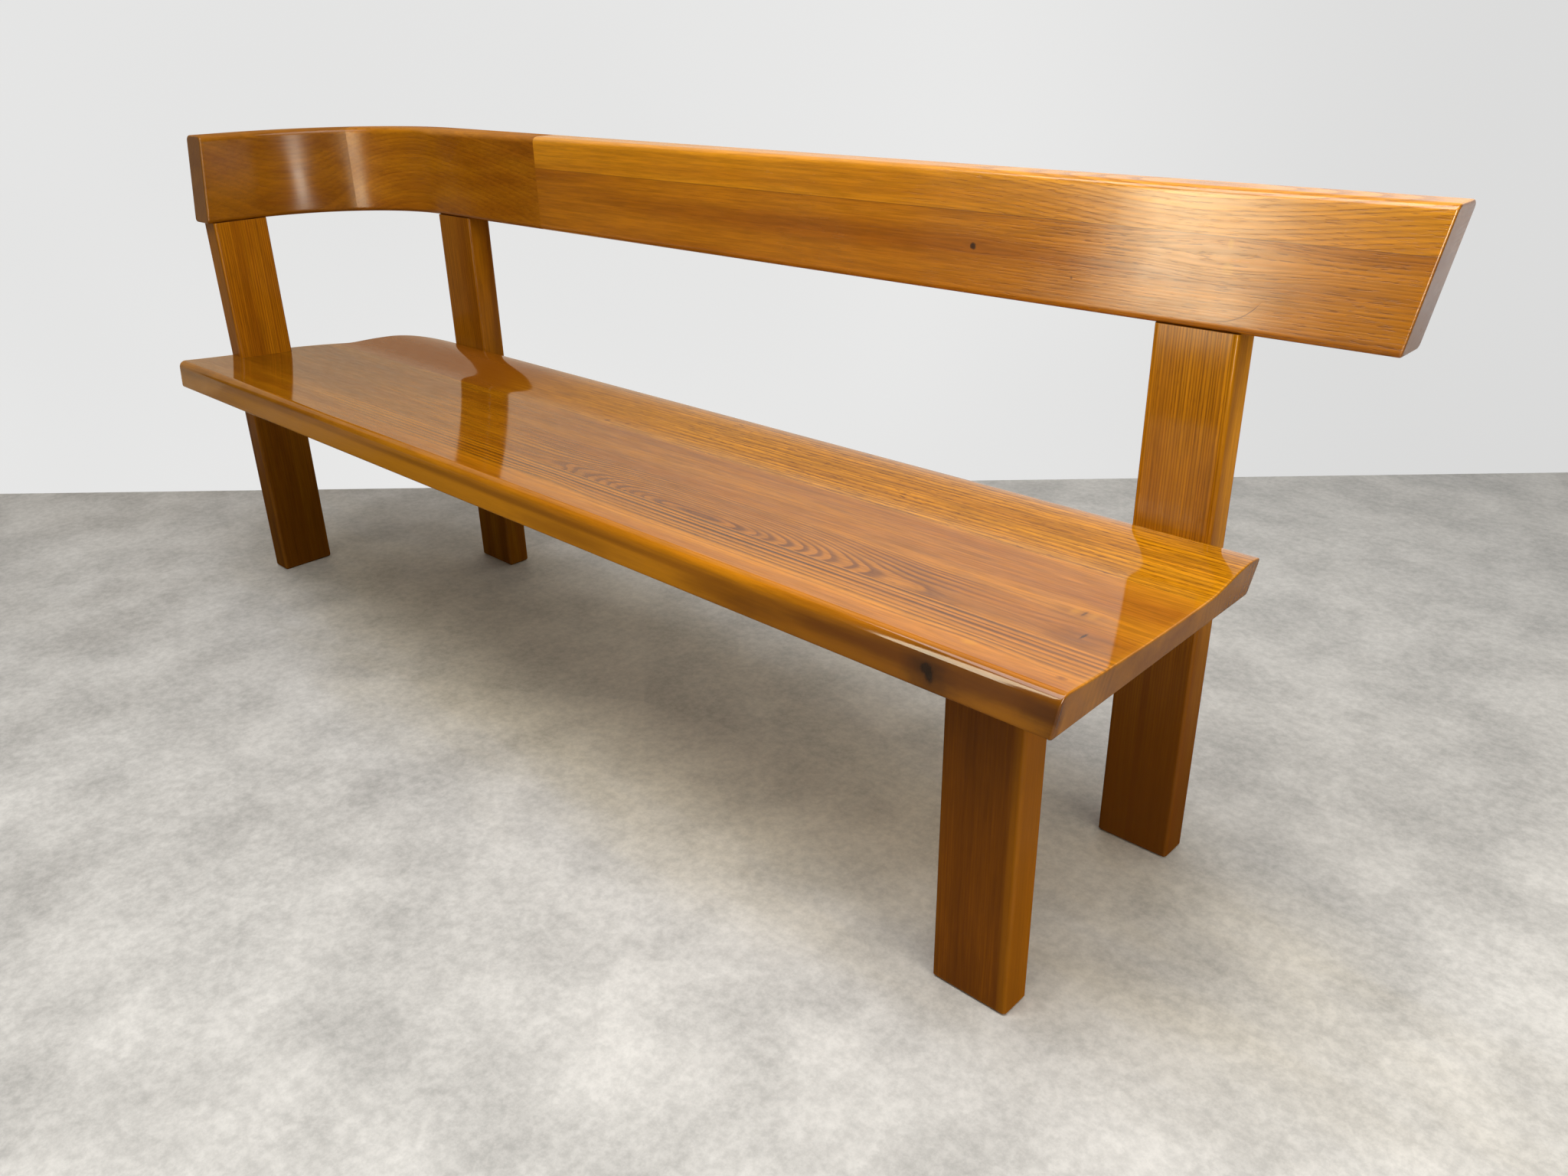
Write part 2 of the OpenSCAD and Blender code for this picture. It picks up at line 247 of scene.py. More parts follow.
def new_group(name, inputs, outputs, kind="ShaderNodeTree"):
    """An empty node group: its Tree, its inputs and its output node.

    Each input has its default, or the name of its type; each output has the name of its type.
    """
    group = bpy.data.node_groups.new(name, kind)
    for label, default in inputs.items():
        plain = {float: "Float", tuple: "Vector"}.get(type(default))
        socket_type = "NodeSocket" + (plain or default)
        socket = group.interface.new_socket(label, in_out="INPUT", socket_type=socket_type)
        if plain:
            socket.default_value = default
    for label, socket_type in outputs.items():
        group.interface.new_socket(label, in_out="OUTPUT", socket_type="NodeSocket" + socket_type)
    t = Tree(group)
    return t, t.add("NodeGroupInput").outputs, t.add("NodeGroupOutput")


def growth_rings():
    """Growth lines round a pith that wanders: a dark line at the start of each year that fades out."""
    t, given, out = new_group(
        "Growth rings", {"Vector": (0, 0, 0), "Ring Width": 0.005, "Pith": (0, 0, 0), "Rise": 0.0,
                         "Reach": 0.5, "Wander": 0.01, "Flame": 0.001},
        {"Line": "Float", "Year": "Float", "Porous": "Float"})
    x, y, z = t.parts(t.vector("SUBTRACT", given["Vector"], given["Pith"]))
    share = t.maths("DIVIDE", t.maths("ABSOLUTE", x), given["Reach"])
    rise = t.times(t.fade(share, 0.0, 1.0), given["Rise"])
    for amount, along, across in (("Wander", 1.6, 7), ("Flame", 17, 42)):
        drift = t.noise(t.scaled(given["Vector"], along, across, across), 1, 1)["Color"]
        _, drift_y, drift_z = t.parts(t.vector("SUBTRACT", drift, (0.5, 0.5, 0.5)))
        y = t.maths("MULTIPLY_ADD", drift_y, given[amount], y)
        z = t.maths("MULTIPLY_ADD", drift_z, given[amount], z)
    radius = t.vector("LENGTH", t.join(0.0, y, t.maths("ADD", z, rise)))
    years = t.maths("DIVIDE", radius, given["Ring Width"])
    uneven = t.fill(t.add("ShaderNodeTexNoise", noise_dimensions="1D"), W=years, Scale=0.37, Detail=1.0)
    years = t.maths("MULTIPLY_ADD", uneven.outputs["Fac"], 1.3, years)
    phase = t.maths("FRACT", years)
    number = t.maths("FLOOR", years)
    year = t.fill(t.add("ShaderNodeTexWhiteNoise", noise_dimensions="1D"), W=number).outputs["Value"]
    start = t.fade(phase, 0.82, 0.97)
    line = t.maths("MAXIMUM", start, t.fade(phase, 0.12, 0.52, 1.0, 0.0))
    t.fill(out, Line=t.times(line, t.fade(year, 0.0, 1.0, 0.7, 1.0)), Year=year,
           Porous=t.maths("MAXIMUM", start, t.fade(phase, 0.0, 0.3, 1.0, 0.0)))
    return t.tree


def fibres():
    """Broad soft bands, fine streaks and short dark pores along the grain."""
    t, given, out = new_group("Fibres and pores", {"Vector": (0, 0, 0), "Porous": 0.5},
                              {"Streak": "Float", "Fibre": "Float", "Pore": "Float"})
    streak = t.noise(t.scaled(given["Vector"], 1.5, 30, 30), 1, 3)["Fac"]
    fibre = t.noise(t.scaled(given["Vector"], 14, 300, 300), 1, 3, 0.65)["Fac"]
    dash = t.noise(t.scaled(given["Vector"], 60, 750, 750), 1, 1)["Fac"]
    threshold = t.maths("MULTIPLY_ADD", given["Porous"], -0.12, 0.64)
    t.fill(out, Streak=streak, Fibre=t.fade(fibre, 0.3, 0.7),
           Pore=t.maths("MULTIPLY", t.maths("SUBTRACT", dash, threshold), 14.0, clamp=True))
    return t.tree


def whorl():
    """Grain that spreads round a knot: the push that bends it and how near the knot is."""
    t, given, out = new_group("Whorl", {"Vector": (0, 0, 0), "Centre": (0, 0, 0), "Size": (0.1, 0.03, 0.03)},
                              {"Push": "Vector", "Nearness": "Float"})
    away = t.vector("SUBTRACT", given["Vector"], given["Centre"])
    distance = t.vector("LENGTH", t.vector("DIVIDE", away, given["Size"]))
    nearness = t.fade(distance, 0.05, 1.0, 1.0, 0.0)
    pull = t.times(nearness, -0.6)
    t.fill(out, Push=t.vector("MULTIPLY", away, t.join(0.0, pull, pull)), Nearness=nearness)
    return t.tree


def patch():
    """A mark of a given place and size, with a soft and ragged edge."""
    t, given, out = new_group(
        "Patch", {"Vector": (0, 0, 0), "Centre": (0, 0, 0), "Size": (0.01, 0.01, 0.01), "Softness": 0.4},
        {"Mask": "Float"})
    away = t.vector("DIVIDE", t.vector("SUBTRACT", given["Vector"], given["Centre"]), given["Size"])
    ragged = t.maths("MULTIPLY_ADD", t.noise(away, 1.7, 3, 0.6)["Fac"], 0.9, -0.45)
    distance = t.maths("ADD", t.vector("LENGTH", away), ragged)
    start, end = (t.maths(kind, 1.0, given["Softness"]) for kind in ("SUBTRACT", "ADD"))
    t.fill(out, Mask=t.fade(distance, start, end, 1.0, 0.0))
    return t.tree


def scratch():
    """A fine curved scratch: part of a circle across the face, cut off by a patch."""
    t, given, out = new_group(
        "Scratch", {"Vector": (0, 0, 0), "Centre": (0, 0, 0), "Radius": 0.06, "Width": 0.0007},
        {"Mask": "Float"})
    away = t.vector("LENGTH", t.scaled(t.vector("SUBTRACT", given["Vector"], given["Centre"]), 1, 0, 1))
    miss = t.maths("ABSOLUTE", t.maths("SUBTRACT", away, given["Radius"]))
    t.fill(out, Mask=t.fade(t.maths("DIVIDE", miss, given["Width"]), 0.4, 1.0, 1.0, 0.0))
    return t.tree


def worn_and_highlit_arris():
    """Edges painted pale, partly as rubbed by use and partly as a painted highlight, broken up along their
    length, from the piece's own arris attribute.
    """
    t, given, out = new_group("Worn and highlit arris", {"Vector": (0, 0, 0), "Amount": 0.6}, {"Wear": "Float"})
    edge = t.add("ShaderNodeAttribute", attribute_name="arris").outputs["Fac"]
    patchy = t.fade(t.noise(given["Vector"], 16, 3)["Fac"], 0.35, 0.65, 0.35, 1.0)
    t.fill(out, Wear=t.maths("MULTIPLY", t.times(edge, patchy), given["Amount"], clamp=True))
    return t.tree


def varnish():
    """Gloss that varies: soft clouds of handling, faint rubbing marks and the texture of open pores."""
    t, given, out = new_group(
        "Varnish", {"Vector": (0, 0, 0), "Base": 0.34, "Gloss": 0.08, "Thickness": 1.0, "Pore": 0.0,
                    "Line": 0.0},
        {"Roughness": "Float", "Coat": "Float", "Coat Roughness": "Float", "Height": "Float"})
    cloud = t.noise(given["Vector"], 9, 3)["Fac"]
    rubbed = t.noise(t.scaled(given["Vector"], 30, 160, 160), 1, 2)["Fac"]
    uneven = t.maths("ADD", t.maths("MULTIPLY_ADD", cloud, 0.12, -0.06),
                     t.maths("MULTIPLY_ADD", rubbed, 0.10, -0.05))
    sunk = t.maths("MULTIPLY_ADD", given["Line"], -0.25, t.times(given["Pore"], -0.6))
    t.fill(out, Roughness=t.maths("ADD", given["Base"], uneven, clamp=True),
           Coat=t.times(given["Thickness"], t.fade(rubbed, 0.2, 0.8, 0.98, 0.8)),
           Coat_Roughness=t.times(given["Gloss"], t.fade(cloud, 0.3, 0.7, 0.8, 1.25)),
           Height=t.maths("MULTIPLY_ADD", cloud, 0.5, sunk))
    return t.tree


def opaque(rgb):
    """A colour with its alpha."""
    return (*rgb, 1.0)


def toned(rgb, shares):
    """A colour with each of its channels scaled."""
    return opaque(channel * share for channel, share in zip(rgb, shares))


def new_material(name):
    """A material with nodes, its Tree and its Principled shader."""
    material = bpy.data.materials.new(name)
    material.use_nodes = True
    return material, Tree(material.node_tree), material.node_tree.nodes["Principled BSDF"]


class Wood:
    """How one board is cut and coloured, in its own grain frame, where x runs along the grain"""

    def __init__(self, pale, dark, line, **cut):
        self.pale, self.dark, self.line = pale, dark, line
        self.turn = (0, 0, 0)
        self.ring, self.pith, self.rise, self.reach = 0.004, (0, 0, 0), 0.0, 0.5
        self.wander, self.flame = 0.006, 0.0008
        self.lines, self.pores, self.fibre, self.bands = 0.3, 0.3, 0.3, 0.5
        # The tone is a ramp of brightness along the grain over the span, from its first value to its second.
        # It is painted light and shade, lighter towards the bench's right end and darker under the seat, and
        # it also sets how deep a board's colour is.
        self.span, self.tone = (-0.95, 0.87), (1.0, 1.0)
        self.faint, self.clear = 1.0, ()
        self.sheen, self.relief, self.gloss, self.coat, self.wear_and_highlight = 0.0, 0.35, 0.08, 1.0, 0.08
        self.matt_top = 1.0
        self.whorls, self.marks, self.scratches = (), (), ()
        for key, value in cut.items():
            setattr(self, key, value)


def wood_colour(t, wood, finish, grain, coordinates):
    """The grain's colour, before any marks, and how strong its lines and pores are."""
    bent, wild = grain, 1.0
    for centre, size, unrest in wood.whorls:
        spot = t.group(WHORL, Vector=grain, Centre=centre, Size=size)
        bent = t.vector("ADD", bent, spot["Push"])
        wild = t.maths("MULTIPLY_ADD", spot["Nearness"], unrest, wild)
    rings = t.group(RINGS, Vector=bent, Ring_Width=wood.ring, Pith=wood.pith, Rise=wood.rise,
                    Reach=wood.reach, Wander=wood.wander, Flame=t.times(wild, wood.flame))
    fine = t.group(FIBRES, Vector=bent, Porous=rings["Porous"])
    clear = t.fade(t.noise(t.scaled(grain, 3, 11, 11), 1, 1)["Fac"], 0.35, 0.65, 0.7, 1.0)
    for axis, soft, strong in wood.clear:
        clear = t.times(clear, t.fade(t.parts(grain)[axis], soft, strong, wood.faint, 1.0))
    line = t.times(rings["Line"], clear)
    pore = t.times(fine["Pore"], clear)
    spread = 0.5 * (1.1 - wood.bands)
    bands = t.fade(fine["Streak"], 0.5 - spread, 0.5 + spread)
    grey = t.maths("ADD", t.maths("MULTIPLY_ADD", rings["Year"], 0.12, 0.94),
                   t.maths("MULTIPLY_ADD", fine["Fibre"], wood.fibre, -0.5 * wood.fibre))
    # Painted light and shade: the colour is made lighter or darker along the grain by the tone over the span.
    grey = t.times(grey, t.fade(t.parts(grain)[0], *wood.span, *wood.tone))
    base = t.shaded(t.blend(bands, opaque(wood.pale), opaque(wood.dark)), grey)
    base = t.blend(t.times(line, wood.lines), base, opaque(wood.line))
    base = t.blend(t.times(pore, wood.pores), base, opaque(wood.line))
    normal = t.add("ShaderNodeMapping", coordinates["Normal"], None, wood.turn, vector_type="NORMAL")
    end_on = t.maths("ABSOLUTE", t.parts(normal.outputs[0])[0])
    base = t.blend(t.fade(end_on, 0.55, 0.95, 0.0, 0.8), base, opaque(finish.end_grain))
    # Rounded edges painted pale: partly worn by rubbing, partly a painted highlight.
    wear_and_highlight = t.group(ARRIS, Vector=coordinates["Object"], Amount=wood.wear_and_highlight)["Wear"]
    return t.blend(wear_and_highlight, base, opaque(finish.honey)), line, pore


def varnished(name, wood, finish):
    """The varnished material of one board."""
    material, t, shader = new_material(name)
    coordinates = t.add("ShaderNodeTexCoord").outputs
    grain = t.add("ShaderNodeMapping", coordinates["Object"], None, wood.turn).outputs[0]
    base, line, pore = wood_colour(t, wood, finish, grain, coordinates)
    for centre, size, softness, share, tint in wood.marks:
        mask = t.group(PATCH, Vector=grain, Centre=centre, Size=size, Softness=softness)["Mask"]
        base = t.blend(t.times(mask, share), base, opaque(tint))
    coat = t.group(VARNISH, Vector=grain, Base=finish.roughness, Gloss=wood.gloss, Thickness=wood.coat,
                   Pore=pore, Line=line)
    height = coat["Height"]
    for centre, radius, width, middle, size in wood.scratches:
        circle = t.group(SCRATCH, Vector=grain, Centre=centre, Radius=radius, Width=width)["Mask"]
        mask = t.times(circle, t.group(PATCH, Vector=grain, Centre=middle, Size=size, Softness=0.3)["Mask"])
        base = t.blend(t.times(mask, 0.6), base, opaque(finish.umber))
        height = t.maths("MULTIPLY_ADD", mask, -1.0, height)
    bump = t.fill(t.add("ShaderNodeBump"), Strength=wood.relief, Distance=0.0005, Height=height).outputs[0]
    coat_weight, sheen = coat["Coat"], wood.sheen
    if wood.matt_top < 1:
        matt = t.fade(t.parts(coordinates["Normal"])[2], 0.8, 0.97, 1.0, wood.matt_top)
        coat_weight = t.times(coat_weight, matt)
        sheen = t.times(matt, sheen) if sheen else sheen
    t.fill(shader, Base_Color=base, Roughness=coat["Roughness"], Coat_Weight=coat_weight,
           Coat_Roughness=coat["Coat Roughness"], Normal=bump, Specular_IOR_Level=sheen,
           Coat_IOR=1.5, IOR=1.45)
    return material


def skin(rings):
    """A closed bmesh over a row of equal rings of points, with both ends capped."""
    bm = bmesh.new()
    rows = [[bm.verts.new(point) for point in ring] for ring in rings]
    count = len(rows[0])
    for near, far in zip(rows, rows[1:]):
        for i in range(count):
            j = (i + 1) % count
            bm.faces.new((near[i], near[j], far[j], far[i]))
    bm.faces.new(rows[0])
    bm.faces.new(rows[-1])
    bmesh.ops.recalc_face_normals(bm, faces=bm.faces)
    return bm


def split(bm, point, outward, **settings):
    """Cuts every face that a plane crosses."""
    return bmesh.ops.bisect_plane(bm, geom=bm.verts[:] + bm.edges[:] + bm.faces[:], dist=SAME / 10,
                                  plane_co=point, plane_no=outward, **settings)


def cut(bm, point, outward):
    """Takes off what lies beyond a plane and closes the cut."""
    made = split(bm, point, outward, clear_outer=True)
    rim = [edge for edge in made["geom_cut"] if isinstance(edge, bmesh.types.BMEdge)]
    bmesh.ops.holes_fill(bm, edges=rim, sides=0)
    bmesh.ops.recalc_face_normals(bm, faces=bm.faces)


def ease_end(bm, outward, radius, is_glued):
    """Rounds the edges of the flat end that faces outward, except where it meets a glued face."""
    outward = Vector(outward).normalized()
    ends = [face for face in bm.faces if face.normal.dot(outward) > 0.9999]
    rim = []
    for face in ends:
        for edge in face.edges:
            others = [other for other in edge.link_faces if other not in ends]
            if others and not is_glued(others[0]):
                rim.append(edge)
    bmesh.ops.bevel(bm, geom=rim, offset=radius, offset_type="OFFSET", segments=4, profile=0.5,
                    affect="EDGES", clamp_overlap=True)


def mark_arrises(bm):
    """Stores how much each point lies on a small rounding, for the pale edges, partly worn and partly a
    painted highlight.
    """
    layer = bm.verts.layers.float.new("arris")
    corner, flat, rounded = radians(60), radians(4), radians(14)
    for vert in bm.verts:
        turns = [edge.calc_face_angle(0) for edge in vert.link_edges if len(edge.link_faces) == 2]
        steepest = max((turn for turn in turns if turn < corner), default=0)
        vert[layer] = min(1, max(0, (steepest - flat) / (rounded - flat)))


def new_mesh(name, bm):
    """A mesh made from a bmesh, which is freed."""
    mesh = bpy.data.meshes.new(name)
    bm.to_mesh(mesh)
    bm.free()
    return mesh


def new_object(name, data):
    """An object in the scene for a mesh, a light or a camera."""
    thing = bpy.data.objects.new(name, data)
    bpy.context.scene.collection.objects.link(thing)
    return thing


def to_object(name, bm, material):
    """Makes a bmesh an object at its place, with soft arrises and flat faces."""
    mark_arrises(bm)
    mesh = new_mesh(name, bm)
    mesh.transform(Matrix.Translation(DATUM))
    mesh.materials.append(material)
    mesh.shade_smooth()
    mesh.set_sharp_from_angle(angle=radians(35))
    piece = new_object(name, mesh)
    weighted = piece.modifiers.new("Weighted normals", "WEIGHTED_NORMAL")
    weighted.keep_sharp = True
    bake_modifiers(piece)
    return piece


def bake_modifiers(piece):
    """Turns a piece with its modifiers into a plain mesh."""
    graph = bpy.context.evaluated_depsgraph_get()
    mesh = bpy.data.meshes.new_from_object(piece.evaluated_get(graph))
    piece.modifiers.clear()
    piece.data = mesh


def dress(piece, node):
    """Lets a finished piece stand for its part of the frame."""
    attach(piece, "root")
    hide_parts(node)


def evenly(start, end, steps):
    """Values from start to end, in a number of equal steps."""
    return [start + (end - start) * i / steps for i in range(steps + 1)]


def arc(centre, radius, start, end, steps):
    """Points on a round edge, between two angles."""
    return [(centre[0] + radius * cos(a), centre[1] + radius * sin(a)) for a in evenly(start, end, steps)]


class SeatTop:
    """The seat's section: a shallow arc, a hollow, a straight flank and a crest, each touching the next"""

    def __init__(self, s):
        self.s = s
        self.dish_z = SEAT_TOP - s.dish_depth
        run = s.seat_depth - s.dish_back
        self.dish_r = (run * run + s.dish_depth * s.dish_depth) / (2 * s.dish_depth)
        across = s.dish_back - s.crest_back
        up = s.crest_radius + s.hollow_radius - s.dish_depth
        self.flank = atan2(across, up) - acos((s.crest_radius + s.hollow_radius) / hypot(across, up))
        self.crest_foot = -s.crest_back - s.crest_radius * sin(self.flank)
        self.hollow_foot = s.hollow_radius * sin(self.flank) - s.dish_back
        near = run - s.front_round
        reach = self.dish_r + s.front_round
        drop = sqrt(reach ** 2 - near ** 2)
        self.front = (s.front_round - s.seat_depth, self.dish_z + self.dish_r - drop)
        self.front_touch = -s.dish_back - near * self.dish_r / reach
        self.front_turn = atan2(-near, drop)

    def height(self, y):
        """Height of the top over a place across the seat."""
        s = self.s
        if y < -s.dish_back:
            return self.dish_z + self.dish_r - sqrt(self.dish_r ** 2 - (y + s.dish_back) ** 2)
        if y < self.hollow_foot:
            return self.dish_z + s.hollow_radius - sqrt(s.hollow_radius ** 2 - (y + s.dish_back) ** 2)
        if y > self.crest_foot:
            return SEAT_TOP - s.crest_radius + sqrt(s.crest_radius ** 2 - (y + s.crest_back) ** 2)
        share = (y - self.hollow_foot) / (self.crest_foot - self.hollow_foot)
        start = self.dish_z + s.hollow_radius * (1 - cos(self.flank))
        end = SEAT_TOP - s.crest_radius * (1 - cos(self.flank))
        return start + share * (end - start)

    def slope(self, y):
        """Rise of the top over a place across the seat, eased over a hand's breadth as by sanding."""
        step = 0.014
        return (self.height(y + step) - self.height(y - step)) / (2 * step)

    def stations(self, start, end, step):
        """Evenly spaced places across the seat."""
        return evenly(start, end, max(2, round(abs(end - start) / step)))


def lean_plane(s, end):
    """A point on the leaning left (0) or right (1) end of the seat, and the way that it faces."""
    side = 1 if end else -1
    outward = Vector((side * cos(s.seat_lean), 0, -side * sin(s.seat_lean)))
    return Vector((end * s.seat_length, 0, SEAT_MIDDLE)), outward


def on_glue_line(s):
    """Tells the faces that are glued to the next seat board."""
    def test(face):
        y = face.calc_center_median().y
        flat = abs(face.normal.y) > 0.999
        return flat and min(abs(y + s.front_joint), abs(y + s.rear_joint)) < 10 * SAME
    return test


def finish_end(s, bm, end):
    """Cuts one end of a seat board, rounds it and adds points inside it that keep the pale of its edge,
    partly worn and partly a painted highlight, close to the edge.
    """
    wear_and_highlight_width = 0.008
    point, outward = lean_plane(s, end)
    cut(bm, point, outward)
    ease_end(bm, outward, s.end_arris, on_glue_line(s))
    split(bm, point - wear_and_highlight_width * outward, outward)


def front_board(s, top):
    """The front board: a bar with its round-over, cut to a lean at both ends."""
    r = s.seat_arris
    front = -s.seat_depth
    support = 0.004
    outline = [(-s.front_joint, SEAT_UNDER), (front + r + support, SEAT_UNDER)]
    outline += arc((front + r, SEAT_UNDER + r), r, -QUARTER, -pi, ARRIS_STEPS + 1)
    outline += [(front, SEAT_UNDER + r + support), (front, top.front[1] - support)]
    outline += arc(top.front, s.front_round, pi, QUARTER + top.front_turn, 12)
    outline += [(y, top.height(y)) for y in top.stations(top.front_touch, -s.front_joint, 0.004)[1:]]
    bm = skin([[(x, y, z) for y, z in outline] for x in (-OVERLENGTH, s.seat_length + OVERLENGTH)])
    for end in (0, 1):
        finish_end(s, bm, end)
    return bm


def corner_x(s, y, inset):
    """Where the seat's round corner, drawn in by inset, crosses a line across the seat."""
    r = s.corner_radius
    return r - sqrt((r - inset) ** 2 - (y + r) ** 2)


def corner_y(s, x, inset):
    """Where the seat's round corner, drawn in by inset, crosses a line along the seat."""
    r = s.corner_radius
    return sqrt((r - inset) ** 2 - (r - x) ** 2) - r


def middle_board(s, top):
    """The middle board: rows across it, each starting on the round corner."""
    r = s.seat_arris
    turns = evenly(0, QUARTER, ARRIS_STEPS)
    reach = s.seat_length + OVERLENGTH
    extra = 0.012
    rows = []
    for y in top.stations(-s.front_joint - extra, -s.rear_joint + extra, 0.003):
        z = top.height(y)
        row = [(corner_x(s, y, r * (1 - sin(a))), y, SEAT_UNDER + r * (1 - cos(a))) for a in turns]
        row += [(corner_x(s, y, r * (1 - cos(a))), y, z - r * (1 - sin(a))) for a in turns]
        inside = corner_x(s, y, 2 * r)
        row += [(inside, y, z), (reach, y, z), (reach, y, SEAT_UNDER), (inside, y, SEAT_UNDER)]
        rows.append(row)
    bm = skin(rows)
    cut(bm, (0, -s.front_joint, 0), (0, -1, 0))
    cut(bm, (0, -s.rear_joint, 0), (0, 1, 0))
    finish_end(s, bm, 1)
    return bm


def rear_board(s, top):
    """The rear board: columns along it that follow the round corner and then the straight back edge."""
    r = s.seat_arris
    turns = evenly(0, QUARTER, ARRIS_STEPS)
    first_turn, extra = radians(27), 0.045
    places = [s.corner_radius * (1 - cos(a)) for a in evenly(first_turn, QUARTER, 42)]
    near = -s.rear_joint - extra
    columns = []
    for x in [*places, s.seat_length + OVERLENGTH]:
        inner = min(x, s.corner_radius)
        edge = corner_y(s, inner, r)
        z = top.height(edge)
        column = [(x, near, SEAT_UNDER)]
        column += [(x, y, top.height(y)) for y in evenly(near, edge, 54)[:-1]]
        column += [(x, corner_y(s, inner, r * (1 - sin(a))), z - r * (1 - cos(a))) for a in turns]
        column += [(x, corner_y(s, inner, r * (1 - cos(a))), SEAT_UNDER + r * (1 - sin(a))) for a in turns]
        columns.append(column)
    bm = skin(columns)
    cut(bm, (0, -s.rear_joint, 0), (0, -1, 0))
    finish_end(s, bm, 1)
    return bm


def notch_for_post(piece):
    """Takes the end post's place out of the middle board."""
    beyond = Vector((0.02, 0.02, 0.02))
    first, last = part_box("end_post")
    first = Vector((first.x, first.y, SEAT_UNDER)) - beyond
    last = Vector((last.x, last.y, SEAT_TOP + beyond.z))
    bm = bmesh.new()
    bmesh.ops.create_cube(bm, size=1)
    for vert in bm.verts:
        vert.co = [first[i] + (vert.co[i] + 0.5) * (last - first)[i] for i in range(3)]
    tool = new_object("notch", new_mesh("notch", bm))
    boolean = piece.modifiers.new("Notch", "BOOLEAN")
    boolean.operation = "DIFFERENCE"
    boolean.solver = "EXACT"
    boolean.object = tool
    bake_modifiers(piece)
    bpy.data.objects.remove(tool)


def smooth_top(piece, top):
    """Gives the seat's top the normals of its true section, so that reflections run clean."""
    mesh = piece.data
    normals = [tuple(corner.vector) for corner in mesh.corner_normals]
    for face in mesh.polygons:
        if face.normal.z < 0.9:
            continue
        for loop in face.loop_indices:
            place = mesh.vertices[mesh.loops[loop].vertex_index].co - DATUM
            if abs(place.z - top.height(place.y)) < SAME and place.y > top.front_touch - SAME:
                normals[loop] = tuple(Vector((0, -top.slope(place.y), 1)).normalized())
    mesh.normals_split_custom_set(normals)


def upright(s, node):
    """A post or leg: a flat section with soft arrises and a chamfered foot, up to its shoulder."""
    first, last = (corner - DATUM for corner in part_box(node))
    top = SEAT_UNDER if node == "front_leg" else BACK_UNDER
    support = 0.003
    corners = ((last.x, last.y, 1, 1), (first.x, last.y, -1, 1), (first.x, first.y, -1, -1),
               (last.x, first.y, 1, -1))

    def section(inset, z):
        ring = []
        for quarter, (x, y, side_x, side_y) in enumerate(corners):
            centre = (x - side_x * s.post_arris, y - side_y * s.post_arris)
            turn = quarter * QUARTER
            points = arc(centre, s.post_arris - inset, turn, turn + QUARTER, 5)
            steps = ((0, -support * side_y), (-support * side_x, 0))
            before, after = reversed(steps) if quarter % 2 else steps
            points.insert(0, (points[0][0] + before[0], points[0][1] + before[1]))
            points.append((points[-1][0] + after[0], points[-1][1] + after[1]))
            ring += [(px, py, z) for px, py in points]
        return ring

    chamfer = s.foot_chamfer
    levels = ((chamfer, 0), (0, chamfer), (0, chamfer + support), (0, top / 2), (0, top))
    return skin([section(inset, z) for inset, z in levels])


